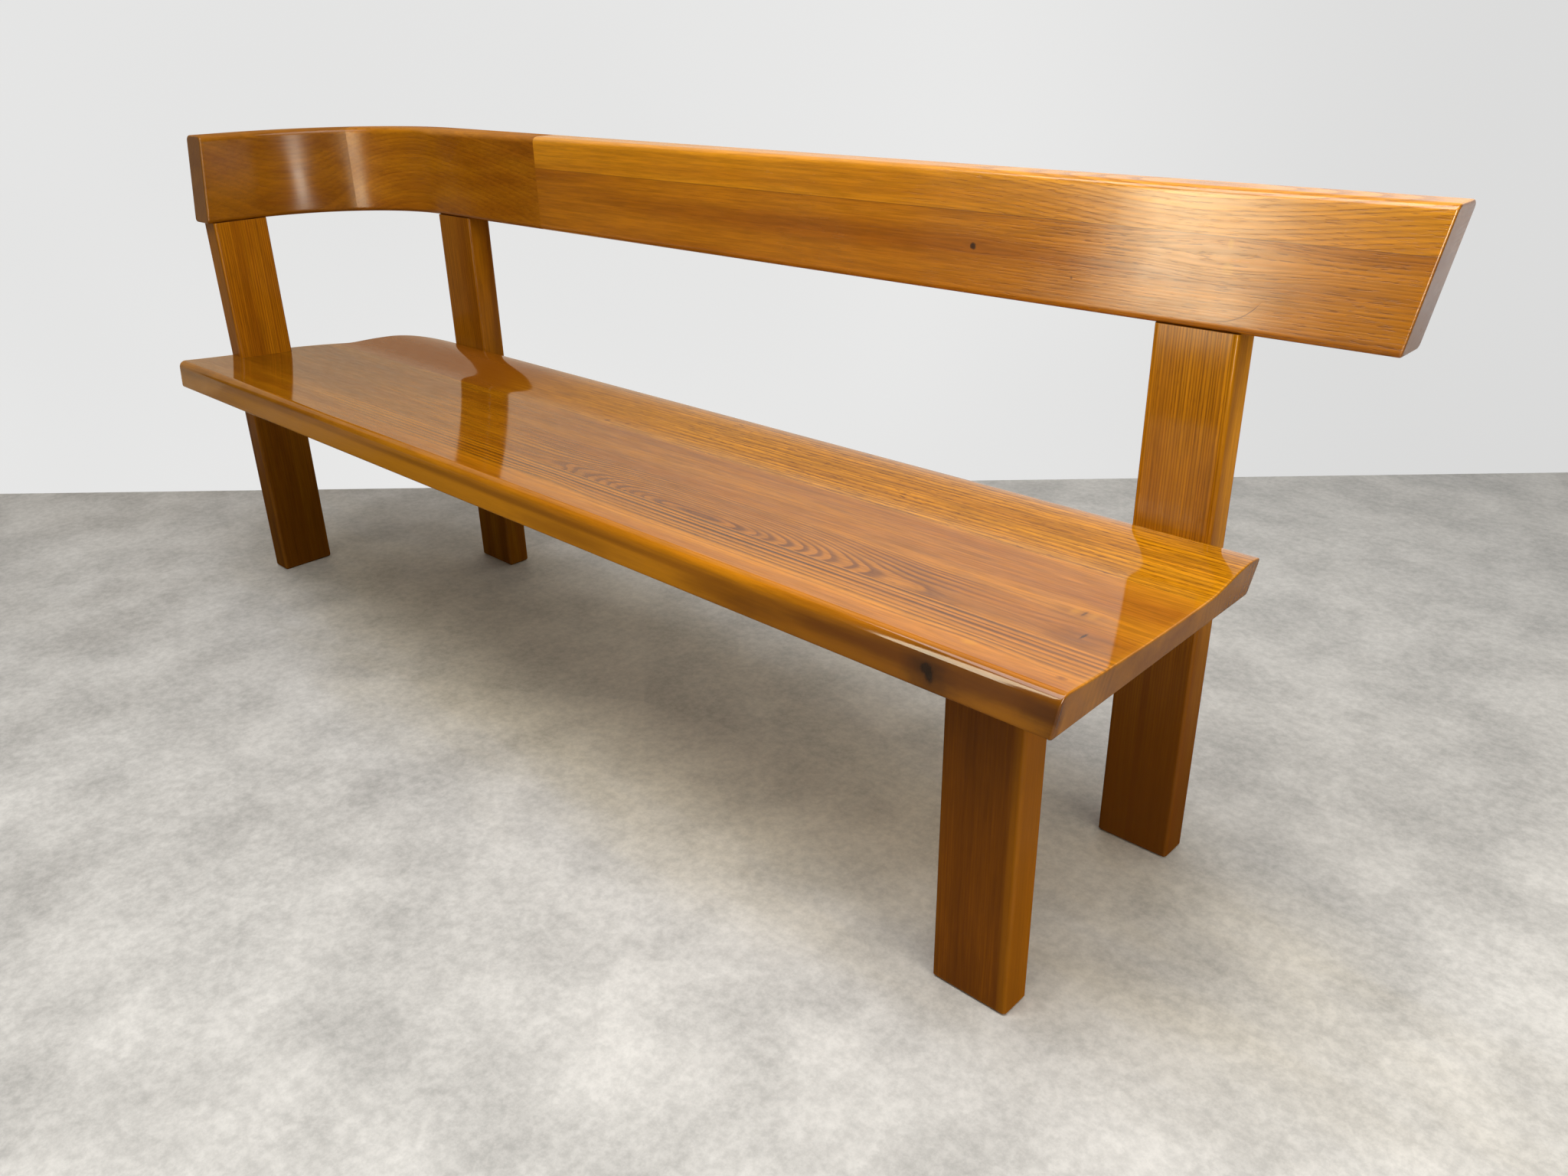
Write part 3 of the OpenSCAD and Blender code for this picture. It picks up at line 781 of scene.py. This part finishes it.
def strip_tree():
    """Nodes for one strip of the backrest: a rounded section along a line, then bent round the corner."""
    sizes = ("Start", "End", "Lean at End", "Bottom", "Height", "Thickness", "Top Arris", "Low Arris",
             "Bend Radius", "Centre X", "Centre Y", "Spacing")
    t, given, out = new_group(
        "Backrest strip", {"Geometry": "Geometry", **dict.fromkeys(sizes, 0.1), "Material": "Material"},
        {"Geometry": "Geometry"}, "GeometryNodeTree")
    half_t = t.times(given["Thickness"], 0.5)
    half_h = t.times(given["Height"], 0.5)
    middle = t.maths("ADD", given["Bottom"], half_h)
    path = t.add("GeometryNodeCurvePrimitiveLine", t.join(given["Start"], half_t, middle),
                 t.join(given["End"], half_t, middle))
    line = t.fill(t.add("GeometryNodeResampleCurve", path.outputs[0], mode="LENGTH"), Length=given["Spacing"])
    upright_line = t.fill(t.add("GeometryNodeSetCurveNormal", mode="Z_UP"), Curve=line.outputs[0])
    flat = t.add("GeometryNodeCurvePrimitiveQuadrilateral", given["Thickness"], given["Height"])
    divided = t.add("GeometryNodeSubdivideCurve", flat.outputs[0], 4)
    across = t.parts(t.add("GeometryNodeInputPosition").outputs[0])[1]
    on_top = t.maths("LESS_THAN", across, t.times(half_h, -0.99))
    on_bottom = t.maths("GREATER_THAN", across, t.times(half_h, 0.99))
    arris = t.maths("ADD", t.times(on_top, given["Top Arris"]), t.times(on_bottom, given["Low Arris"]))
    rounded = t.add("GeometryNodeFilletCurve", divided.outputs[0], 6, arris, mode="POLY")
    bar = t.add("GeometryNodeCurveToMesh", upright_line.outputs[0], rounded.outputs[0])
    t.fill(bar, Fill_Caps=True)
    merged = t.fill(t.add("GeometryNodeMergeByDistance", bar.outputs[0]), Distance=SAME)
    s, u, z = t.parts(t.add("GeometryNodeInputPosition").outputs[0])
    share = t.maths("DIVIDE", t.maths("SUBTRACT", s, given["Start"]),
                    t.maths("SUBTRACT", given["End"], given["Start"]), clamp=True)
    lean = t.times(given["Lean at End"], share)
    s = t.maths("MULTIPLY_ADD", lean, t.maths("SUBTRACT", z, BACK_UNDER), s)
    turn = t.maths("MINIMUM", t.maths("MAXIMUM", t.maths("DIVIDE", s, given["Bend Radius"]), 0.0), QUARTER)
    rest = t.maths("SUBTRACT", s, t.times(turn, given["Bend Radius"]))
    radius = t.maths("ADD", given["Bend Radius"], u)
    sine, cosine = t.maths("SINE", turn), t.maths("COSINE", turn)
    x = t.maths("SUBTRACT", given["Centre X"], t.times(radius, sine))
    x = t.maths("SUBTRACT", x, t.times(rest, cosine))
    y = t.maths("ADD", given["Centre Y"], t.times(radius, cosine))
    y = t.maths("SUBTRACT", y, t.times(rest, sine))
    placed = t.fill(t.add("GeometryNodeSetPosition", merged.outputs[0]), Position=t.join(x, y, z))
    real = t.add("GeometryNodeRealizeInstances", placed.outputs[0])
    finished = t.fill(t.add("GeometryNodeSetMaterial", real.outputs[0]), Material=given["Material"])
    t.fill(out, Geometry=finished.outputs[0])
    return t.tree


def strip_piece(name, tree, values):
    """One strip of the backrest, from the shared node tree, as a plain bmesh."""
    piece = new_object(name, bpy.data.meshes.new(name))
    modifier = piece.modifiers.new("Strip", "NODES")
    modifier.node_group = tree
    names = {item.name: item.identifier for item in tree.interface.items_tree
             if item.item_type == "SOCKET" and item.in_out == "INPUT"}
    for label, value in values.items():
        modifier[names[label]] = value
    bake_modifiers(piece)
    bm = bmesh.new()
    bm.from_mesh(piece.data)
    bpy.data.objects.remove(piece)
    bmesh.ops.recalc_face_normals(bm, faces=bm.faces)
    return bm


def on_strip_joint(face):
    """Tells the faces that are glued to the strip above or below."""
    z = face.calc_center_median().z
    return abs(face.normal.z) > 0.999 and min(abs(z - joint) for joint in JOINTS_Z) < 10 * SAME


def board_woods(f):
    """How each board is cut and coloured."""
    red, yellow = (f.amber, f.chestnut, f.umber), (f.honey, f.amber, f.umber)
    edge, back = low("seat_board_front").y, low("rail_upper").y
    # The tones paint light and shade along the grain. The uprights are darker under the seat, low on the
    # posts and at the top of the front leg. The seat boards and rails are lighter towards the bench's right
    # end. The bends' tones are even along them.
    stands = {"turn": (0, QUARTER, 0), "lines": 0.6, "bands": 0.6, "gloss": 0.12, "relief": 0.2,
              "span": (0.05, 0.46), "coat": 0.35}
    rail = {"sheen": 0.4, "relief": 0.8, "gloss": 0.17, "pores": 0.5, "faint": 0.25, "tone": (1.02, 1.28),
            "matt_top": 0.3}
    plain_rail = {**rail, "ring": 0.0035, "lines": 0.2, "clear": [("X", 0.35, 0.65)]}
    bend = {"ring": 0.006, "pith": (0, 0.5, 0.5), "lines": 0.15, "pores": 0.15, "fibre": 0.2, "relief": 0.8,
            "gloss": 0.21, "matt_top": 0.4}
    bends = {"corner": {**bend, "turn": (0, 0, radians(-12)), "tone": (0.85, 0.85), "coat": 0.65},
             "end": {**bend, "turn": (0, 0, radians(-72)), "tone": (0.60, 0.60), "coat": 0.62}}
    return {
        "seat_board_front": Wood(
            f.amber, f.chestnut, f.bark, ring=0.0092, pith=(0.3, 0.30, 0.405), flame=0.0005, lines=0.85,
            pores=0.4, faint=0.12, wear_and_highlight=0.4, tone=(0.50, 1.3),
            clear=[("Y", -0.196, -0.182), ("X", -0.9, 0.1)],
            whorls=[((0.045, -0.184, 0.431), (0.12, 0.035, 0.05), 5.0),
                    ((0.741, -0.200, 0.430), (0.10, 0.028, 0.06), 1.0),
                    ((0.720, edge, 0.413), (0.06, 0.06, 0.025), 1.0)],
            # The first three marks paint light and shade on the front face: paler over its left and middle,
            # much darker towards its right end and darkest at its right corner. The rest are the wood's own
            # patches, streaks, smudges and knots.
            marks=[((-0.15, edge, 0.402), (0.85, 0.010, 0.026), 0.5, 0.55, f.honey),
                   ((0.80, edge, 0.404), (0.34, 0.010, 0.036), 0.5, 0.9, f.umber),
                   ((0.855, edge, 0.405), (0.030, 0.010, 0.022), 0.7, 0.4, f.bark),
                   ((0.62, edge, 0.396), (0.10, 0.010, 0.012), 0.8, 0.5, f.amber),
                   ((0.81, edge, 0.396), (0.05, 0.010, 0.012), 0.8, 0.6, f.amber),
                   ((0.0, edge, 0.4215), (0.45, 0.008, 0.0045), 0.6, 0.5, f.umber),
                   ((0.16, edge, 0.404), (0.09, 0.008, 0.010), 0.8, 0.4, f.umber),
                   ((0.44, edge, 0.410), (0.06, 0.008, 0.014), 0.8, 0.45, f.umber),
                   ((0.720, edge, 0.413), (0.024, 0.012, 0.020), 0.8, 0.6, f.bark),
                   ((0.719, edge, 0.4155), (0.0070, 0.006, 0.0065), 0.35, 0.9, f.bark),
                   ((0.7225, edge, 0.409), (0.0045, 0.006, 0.0075), 0.45, 0.9, f.bark),
                   ((0.741, -0.195, 0.430), (0.009, 0.006, 0.012), 0.5, 0.6, f.honey),
                   ((0.845, -0.199, 0.431), (0.006, 0.004, 0.010), 0.5, 0.6, f.umber)]),
        "seat_board_middle": Wood(
            *red, ring=0.0050, pith=(0.290, -0.126, 0.4262), rise=0.05, reach=0.33, wander=0.004,
            flame=0.0020, lines=1.0, pores=0.5, fibre=0.45, faint=0.25, wear_and_highlight=0.4, tone=(0.39, 1.05),
            clear=[("Y", -0.045, -0.065), ("X", 0.72, 0.60), ("X", -0.25, -0.05)],
            whorls=[((0.03, -0.135, 0.431), (0.13, 0.05, 0.05), 5.0),
                    ((0.605, -0.125, 0.431), (0.07, 0.03, 0.03), 1.0),
                    ((0.784, -0.053, 0.428), (0.09, 0.030, 0.04), 2.0),
                    ((0.811, -0.101, 0.430), (0.09, 0.035, 0.04), 2.0)],
            marks=[((0.811, -0.110, 0.430), (0.032, 0.020, 0.020), 0.7, 0.4, f.umber),
                   ((0.784, -0.064, 0.428), (0.030, 0.012, 0.020), 0.8, 0.35, f.umber),
                   ((0.774, -0.053, 0.428), (0.005, 0.008, 0.010), 0.8, 0.35, f.honey),
                   ((0.794, -0.053, 0.428), (0.005, 0.008, 0.010), 0.8, 0.35, f.honey),
                   ((0.784, -0.053, 0.428), (0.0016, 0.0060, 0.010), 0.6, 0.6, f.bark),
                   ((0.811, -0.101, 0.430), (0.0016, 0.0070, 0.010), 0.6, 0.8, f.bark),
                   ((0.243, -0.131, 0.431), (0.020, 0.005, 0.010), 0.6, 0.5, f.umber),
                   ((0.155, -0.129, 0.431), (0.0025, 0.003, 0.004), 0.4, 0.7, f.bark)]),
        "seat_board_rear": Wood(
            *yellow, ring=0.0062, pith=(0.3, -0.45, 0.20), lines=0.6, pores=0.9, fibre=0.55, bands=0.35,
            faint=0.5, clear=[("X", -0.3, 0.3)], wear_and_highlight=0.3, tone=(0.53, 0.95),
            # Painted shade: a broad dark patch over the seat's rear left, where the posts are mirrored in it.
            marks=[((-0.80, 0.10, 0.43), (0.55, 0.30, 0.20), 0.5, 0.95, f.russet),
                   ((-0.120, 0.068, 0.425), (0.006, 0.004, 0.006), 0.4, 0.6, f.umber),
                   ((-0.080, 0.075, 0.425), (0.006, 0.003, 0.006), 0.4, 0.5, f.umber),
                   ((0.217, 0.122, 0.436), (0.007, 0.0025, 0.006), 0.4, 0.5, f.umber)]),
        "end_post": Wood(*red, pith=(0.3, 0.3, 0.938), tone=(0.3, 0.88), **stands),
        "rear_left_post": Wood(*red, pith=(0.3, 0.178, 0.95), tone=(0.42, 0.7), **stands),
        "rear_right_post": Wood(
            *yellow, ring=0.0036, pith=(0.3, 0.178, -1.05), tone=(0.2, 0.9),
            # Painted shade: the post is darker low down, under the seat.
            marks=[((0.10, 0.200, -0.758), (0.34, 0.2, 0.2), 0.5, 0.6, f.russet),
                   ((0.20, 0.178, -0.752), (0.28, 0.02, 0.005), 0.6, 0.5, f.umber)], **stands),
        "front_leg": Wood(
            f.chestnut, f.russet, f.umber, ring=0.0032, pith=(0.3, -0.19, -0.45), tone=(0.7, 0.5),
            # Painted light: the leg's right face is painted paler, where light falls on it from the right.
            marks=[((0.20, -0.1665, -0.807), (0.5, 0.06, 0.012), 0.4, 0.28, f.amber)], **stands),
        "rail_lower": Wood(
            *red, pith=(0.5, 0.25, 0.55),
            marks=[((0.604, back, 0.710), (0.0015, 0.003, 0.0015), 0.4, 0.6, f.bark)],
            scratches=[((0.776, back, 0.744), 0.0595, 0.0008, (0.806, back, 0.692), (0.026, 0.02, 0.018))],
            **plain_rail),
        "rail_middle": Wood(
            *red, pith=(0.5, 0.25, 0.62),
            whorls=[((0.468, back, 0.732), (0.09, 0.05, 0.020), 1.0),
                    ((0.785, back, 0.752), (0.13, 0.05, 0.035), 2.0)],
            marks=[((0.468, back, 0.732), (0.0040, 0.004, 0.0040), 0.35, 0.9, f.bark),
                   ((0.535, back, 0.710), (0.0045, 0.003, 0.0010), 0.4, 0.8, f.bark),
                   ((0.785, back, 0.765), (0.003, 0.004, 0.004), 0.6, 0.6, f.honey),
                   ((0.785, back, 0.740), (0.006, 0.004, 0.006), 0.6, 0.6, f.honey)], **plain_rail),
        "rail_upper": Wood(
            f.honey, f.amber, f.chestnut, ring=0.0055, pith=(0.75, 0.20, 0.90), rise=-0.03, reach=0.35,
            lines=0.5, clear=[("X", 0.2, 0.65)],
            marks=[((0.40, back, JOINTS_Z[1]), (1.5, 0.010, 0.0012), 0.3, 0.6, f.umber)], **rail),
        **{f"{run}_{strip}": Wood(*red, **bends[run]) for run in bends for strip in STRIPS},
    }


def board_material(context, node):
    """The material of one board, made for its own grain."""
    finish = context.scene.bench_finish
    return varnished(node + "_wood", board_woods(finish)[node], finish)


class BENCH_OT_seat(bpy.types.Operator):
    """Makes the three boards of the dished seat"""

    bl_idname = "bench.seat"
    bl_label = "Seat boards"

    def execute(self, context):
        s = context.scene.bench_sizes
        top = SeatTop(s)
        for place, make in (("front", front_board), ("middle", middle_board), ("rear", rear_board)):
            node = "seat_board_" + place
            piece = to_object("board_" + place, make(s, top), board_material(context, node))
            if make is middle_board:
                notch_for_post(piece)
            smooth_top(piece, top)
            dress(piece, node)
        return {"FINISHED"}


class BENCH_OT_uprights(bpy.types.Operator):
    """Makes the three tall posts and the short front leg"""

    bl_idname = "bench.uprights"
    bl_label = "Uprights"

    def execute(self, context):
        s = context.scene.bench_sizes
        for node in ("end_post", "rear_left_post", "rear_right_post", "front_leg"):
            dress(to_object(node + "_wood", upright(s, node), board_material(context, node)), node)
        return {"FINISHED"}


class BENCH_OT_backrest(bpy.types.Operator):
    """Makes the nine strips of the bent backrest"""

    bl_idname = "bench.backrest"
    bl_label = "Backrest strips"

    def execute(self, context):
        s = context.scene.bench_sizes
        tree = strip_tree()
        bend_x = s.corner_radius
        bend_end = s.bend_radius * QUARTER
        right = high("rear_right_post").x - DATUM.x + s.rail_overhang
        left = low("end_post").y - DATUM.y - s.left_overhang
        runs = {"rail": (bend_x - s.rail_start, bend_x - right, s.right_lean),
                "corner": (bend_x - s.rail_start, bend_end / 2, 0.0),
                "end": (bend_end / 2, bend_end - s.bend_radius - left, s.left_lean)}
        for i, strip in enumerate(STRIPS):
            for run, (start, end, lean) in runs.items():
                node = f"{run}_{strip}"
                material = board_material(context, node)
                bm = strip_piece(node, tree, {
                    "Start": start, "End": end, "Lean at End": -tan(lean),
                    "Bottom": BACK_UNDER + i * s.strip_height, "Height": s.strip_height,
                    "Thickness": s.back_thickness,
                    "Top Arris": s.top_arris if strip == "upper" else 0.0,
                    "Low Arris": s.low_arris if strip == "lower" else 0.0,
                    "Bend Radius": s.bend_radius, "Centre X": bend_x, "Centre Y": -s.bend_radius,
                    "Spacing": 0.006, "Material": material})
                outward = {"rail": (cos(lean), 0, -sin(lean)), "end": (0, -cos(lean), sin(lean))}
                if run in outward:
                    ease_end(bm, outward[run], s.back_end_arris, on_strip_joint)
                dress(to_object(node + "_strip", bm, material), node)
        return {"FINISHED"}


class BENCH_OT_dowels(bpy.types.Operator):
    """Gives the hidden dowels their bare wood"""

    bl_idname = "bench.dowels"
    bl_label = "Dowels"

    def execute(self, context):
        beech = context.scene.bench_finish.beech
        material, t, shader = new_material("bare_beech")
        place = t.add("ShaderNodeTexCoord").outputs["Object"]
        fleck = t.noise(t.scaled(place, 300, 60, 900), 1, 2)["Fac"]
        t.fill(shader, Base_Color=t.blend(t.fade(fleck, 0.35, 0.7), opaque(beech), toned(beech, [0.72] * 3)),
               Roughness=t.fade(fleck, 0.0, 1.0, 0.55, 0.75))
        for node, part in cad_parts.items():
            if node.endswith("_dowels"):
                for slot in part.material_slots:
                    slot.material = material
        return {"FINISHED"}


WARM_SHADE = (1.0, 0.925, 0.76)
WARM_REFLECTION = (1.0, 0.80, 0.57)
WALL_FOOT = (Vector((-1.893, -0.371, 0)), Vector((0.736, 2.038, 0)))
ALONG_WALL = (WALL_FOOT[1] - WALL_FOOT[0]).normalized()
INTO_ROOM = ALONG_WALL.cross((0, 0, 1))
WALL_HEIGHT = 4.5
FLOOR_REACH = 9.0


class Camera:
    """The photograph's viewpoint"""

    place = Vector((1.319465, -1.060962, 0.9765))
    focal_px = 1578.836
    width_px = 2048
    yaw = 0.758749
    pitch = 0.436030
    roll = -0.019453


def add_camera(scene):
    """Puts a camera at the photograph's viewpoint."""
    c = Camera
    ahead = Vector((-sin(c.yaw) * cos(c.pitch), cos(c.yaw) * cos(c.pitch), -sin(c.pitch)))
    right = Vector((cos(c.yaw), sin(c.yaw), 0))
    up = right.cross(ahead)
    right, up = right * cos(c.roll) + up * sin(c.roll), up * cos(c.roll) - right * sin(c.roll)
    data = bpy.data.cameras.new("camera")
    data.sensor_width = 36
    data.lens = c.focal_px * data.sensor_width / c.width_px
    scene.camera = new_object("camera", data)
    turn = Matrix((right, up, -ahead)).transposed().to_4x4()
    scene.camera.matrix_world = Matrix.Translation(c.place) @ turn


def add_panel_light(name, place, aim, size, strength, tint=(1, 1, 1)):
    """A soft flat light of a given brightness, turned towards a point."""
    data = bpy.data.lights.new(name, "AREA")
    data.shape = "RECTANGLE"
    data.size, data.size_y = size
    data.energy = strength * pi * size[0] * size[1]
    data.color = tint
    light = new_object(name, data)
    place = Vector(place)
    turn = (Vector(aim) - place).to_track_quat("-Z", "Y").to_matrix().to_4x4()
    light.matrix_world = Matrix.Translation(place) @ turn
    light.visible_camera = False
    return light


def add_lights():
    """A soft ceiling light, a warm fill without a highlight and two windows that only make highlights."""
    add_panel_light("ceiling_light", (0.5, -0.75, 3.0), (0.2, -0.1, 0.0), (3.2, 1.8), 5.4)
    fill = add_panel_light("fill_right", (2.8, -0.3, 1.1), (0.7, 0.0, 0.3), (1.4, 1.4), 3.6, (1.0, 0.93, 0.8))
    fill.visible_glossy = False
    for name, place, size, strength, tint in (
            ("window_right", (2.0, -0.95, 0.95), (0.44, 1.5), 19.5, (1.0, 0.96, 0.82)),
            ("window_front", (-0.09, -1.62, 1.05), (0.36, 1.7), 11.5, (1.0, 0.92, 0.66))):
        aim = (place[0] * 0.6, 0.1, place[2])
        window = add_panel_light(name, place, aim, size, strength, tint)
        window.visible_diffuse = False


def add_world(scene):
    """A faint white sky, fainter still in reflections."""
    scene.world = bpy.data.worlds.new("studio")
    scene.world.use_nodes = True
    t = Tree(scene.world.node_tree)
    glossy = t.add("ShaderNodeLightPath").outputs["Is Glossy Ray"]
    strength = t.maths("MULTIPLY_ADD", glossy, -0.22, 0.25)
    t.fill(t.tree.nodes["Background"], Color=(1, 1, 1, 1), Strength=strength)


def backdrop_material(tint):
    """White wall that glows with painted light and is clear from behind: the camera sees its colour as
    written, painted a little darker towards the right; reflections see it dimmer at the left, brightest near
    the bench's right end, dimmer beyond and warm towards the left; other light finds it a matt wall.
    """
    material, t, shader = new_material("white_wall")
    t.tree.nodes.remove(shader)
    path = t.add("ShaderNodeLightPath").outputs
    glossy = path["Is Glossy Ray"]
    place = t.add("ShaderNodeTexCoord").outputs["Object"]
    cloud = t.fade(t.noise(place, 0.6, 2)["Fac"], 0.3, 0.7, 0.97, 1.03)
    across = t.parts(place)[0]
    # Painted light: the wall glows. For the camera it is painted a little darker towards the right. In
    # reflections it is dimmer at the left, brightest near the bench's right end, dimmer again beyond, and
    # warm towards the left.
    reflected = t.times(t.fade(across, -2.0, 0.5, 0.79, 1.2), t.fade(across, 1.0, 1.6, 1.0, 0.5))
    painted_shade_seen = t.fade(across, -0.4, 0.6, 1.0, 0.87)
    cloud = t.times(cloud, t.add("ShaderNodeMix", glossy, None, painted_shade_seen, reflected).outputs[0])
    warm = t.times(glossy, t.fade(across, -1.4, 0.2, 1.0, 0.0))
    shade = t.shaded(t.blend(warm, opaque(tint), toned(tint, WARM_REFLECTION)), cloud)
    glow = t.add("ShaderNodeEmission", shade)
    matt = t.add("ShaderNodeBsdfDiffuse", shade)
    seen = t.maths("MAXIMUM", path["Is Camera Ray"], glossy)
    front = t.add("ShaderNodeMixShader", seen, matt.outputs[0], glow.outputs[0])
    clear = t.add("ShaderNodeBsdfTransparent")
    back = t.add("ShaderNodeNewGeometry").outputs["Backfacing"]
    both = t.add("ShaderNodeMixShader", back, front.outputs[0], clear.outputs[0])
    t.fill(t.tree.nodes["Material Output"], Surface=both.outputs[0])
    return material


def floor_material(tint):
    """Pale grey floor with faint clouds, painted darker towards the wall and in a warm shade under the bench,
    and darker in the reflections that the low faces of the bench catch.
    """
    material, t, shader = new_material("pale_floor")
    place = t.add("ShaderNodeTexCoord").outputs["Object"]
    cloud = t.noise(place, 2.6, 4, 0.6)["Fac"]
    broad = t.fade(t.noise(place, 7, 6, 0.62)["Fac"], 0.3, 0.7, -0.15, 0.15)
    mottle = t.fade(t.noise(place, 70, 5, 0.75)["Fac"], 0.3, 0.7, -0.13, 0.13)
    grey = t.maths("ADD", t.fade(cloud, 0.3, 0.7, 0.92, 1.08), t.maths("ADD", broad, mottle))
    # Painted shade: the floor grows darker towards the wall.
    from_wall = t.maths("SUBTRACT", t.vector("DOT_PRODUCT", place, INTO_ROOM), WALL_FOOT[1].dot(INTO_ROOM))
    grey = t.times(grey, t.fade(from_wall, -0.3, 2.9, 0.73, 1.05))
    x, y, _ = t.parts(place)
    left = t.maths("MAXIMUM", t.fade(x, -2.0, -1.3, 0.2, 0.9), t.fade(y, -2.4, -1.8, 0.9, 0.2))
    right = t.maths("MAXIMUM", t.fade(x, 0.85, 1.15, 0.9, 0.0), t.fade(x, 1.7, 2.1, 0.0, 0.9))
    right = t.maths("MAXIMUM", right, t.fade(y, 0.7, 1.2, 0.6, 0.0))
    glossy = t.add("ShaderNodeLightPath").outputs["Is Glossy Ray"]
    grey = t.times(grey, t.maths("SUBTRACT", 1.0, t.times(glossy, t.maths("MINIMUM", left, right))))
    # Painted shade: a warm, darker tint on the floor under the bench.
    under = t.group(PATCH, Vector=place, Centre=(-0.05, 0.02, 0.0), Size=(0.95, 0.26, 1.0), Softness=0.5)
    tone = t.blend(under["Mask"], opaque(tint), toned(tint, WARM_SHADE))
    t.fill(shader, Base_Color=t.shaded(tone, grey), Roughness=t.fade(cloud, 0.3, 0.7, 0.5, 0.62))
    return material


def flat_sheet(name, corners, material):
    """A flat four-cornered sheet of the stage."""
    mesh = bpy.data.meshes.new(name)
    mesh.from_pydata(corners, [], [tuple(range(len(corners)))])
    mesh.materials.append(material)
    new_object(name, mesh)


class BENCH_OT_stage(bpy.types.Operator):
    """Sets up the floor, the white wall, the soft lights and the camera"""

    bl_idname = "bench.stage"
    bl_label = "Stage"

    def execute(self, context):
        scene = context.scene
        square = ((-1, -1), (1, -1), (1, 1), (-1, 1))
        flat_sheet("floor", [(x * FLOOR_REACH, y * FLOOR_REACH, 0) for x, y in square],
                   floor_material(scene.bench_stage.floor))
        before, beyond = 0.9, 4.0
        start, end = WALL_FOOT[0] - ALONG_WALL * before, WALL_FOOT[1] + ALONG_WALL * beyond
        up = Vector((0, 0, WALL_HEIGHT))
        flat_sheet("wall", [start, end, end + up, start + up], backdrop_material(scene.bench_stage.wall))
        add_lights()
        add_world(scene)
        scene.view_settings.view_transform = "Standard"
        add_camera(scene)
        return {"FINISHED"}


class BENCH_PT_panel(bpy.types.Panel):
    """Lists the steps that make the bench"""

    bl_label = "Corner Bench"
    bl_idname = "BENCH_PT_panel"
    bl_space_type = "VIEW_3D"
    bl_region_type = "UI"
    bl_category = "Bench"

    def draw(self, context):
        column = self.layout.column()
        for operator in OPERATORS:
            column.operator(operator.bl_idname)


OPERATORS = (BENCH_OT_seat, BENCH_OT_uprights, BENCH_OT_backrest, BENCH_OT_dowels, BENCH_OT_stage)
CLASSES = (BenchSizes, BenchFinish, BenchStage, *OPERATORS, BENCH_PT_panel)


def register():
    """Adds the bench's classes and settings to Blender."""
    for item in CLASSES:
        bpy.utils.register_class(item)
    bpy.types.Scene.bench_sizes = PointerProperty(type=BenchSizes)
    bpy.types.Scene.bench_finish = PointerProperty(type=BenchFinish)
    bpy.types.Scene.bench_stage = PointerProperty(type=BenchStage)


def unregister():
    """Takes the bench's classes and settings out of Blender."""
    del bpy.types.Scene.bench_stage
    del bpy.types.Scene.bench_finish
    del bpy.types.Scene.bench_sizes
    for item in reversed(CLASSES):
        bpy.utils.unregister_class(item)


def main():
    """Makes the whole bench and its stage."""
    register()
    bpy.ops.bench.stage()
    bpy.ops.bench.seat()
    bpy.ops.bench.uprights()
    bpy.ops.bench.backrest()
    bpy.ops.bench.dowels()


RINGS, FIBRES, WHORL, PATCH = growth_rings(), fibres(), whorl(), patch()
SCRATCH, ARRIS, VARNISH = scratch(), worn_and_highlit_arris(), varnish()

if __name__ == "__main__":
    main()
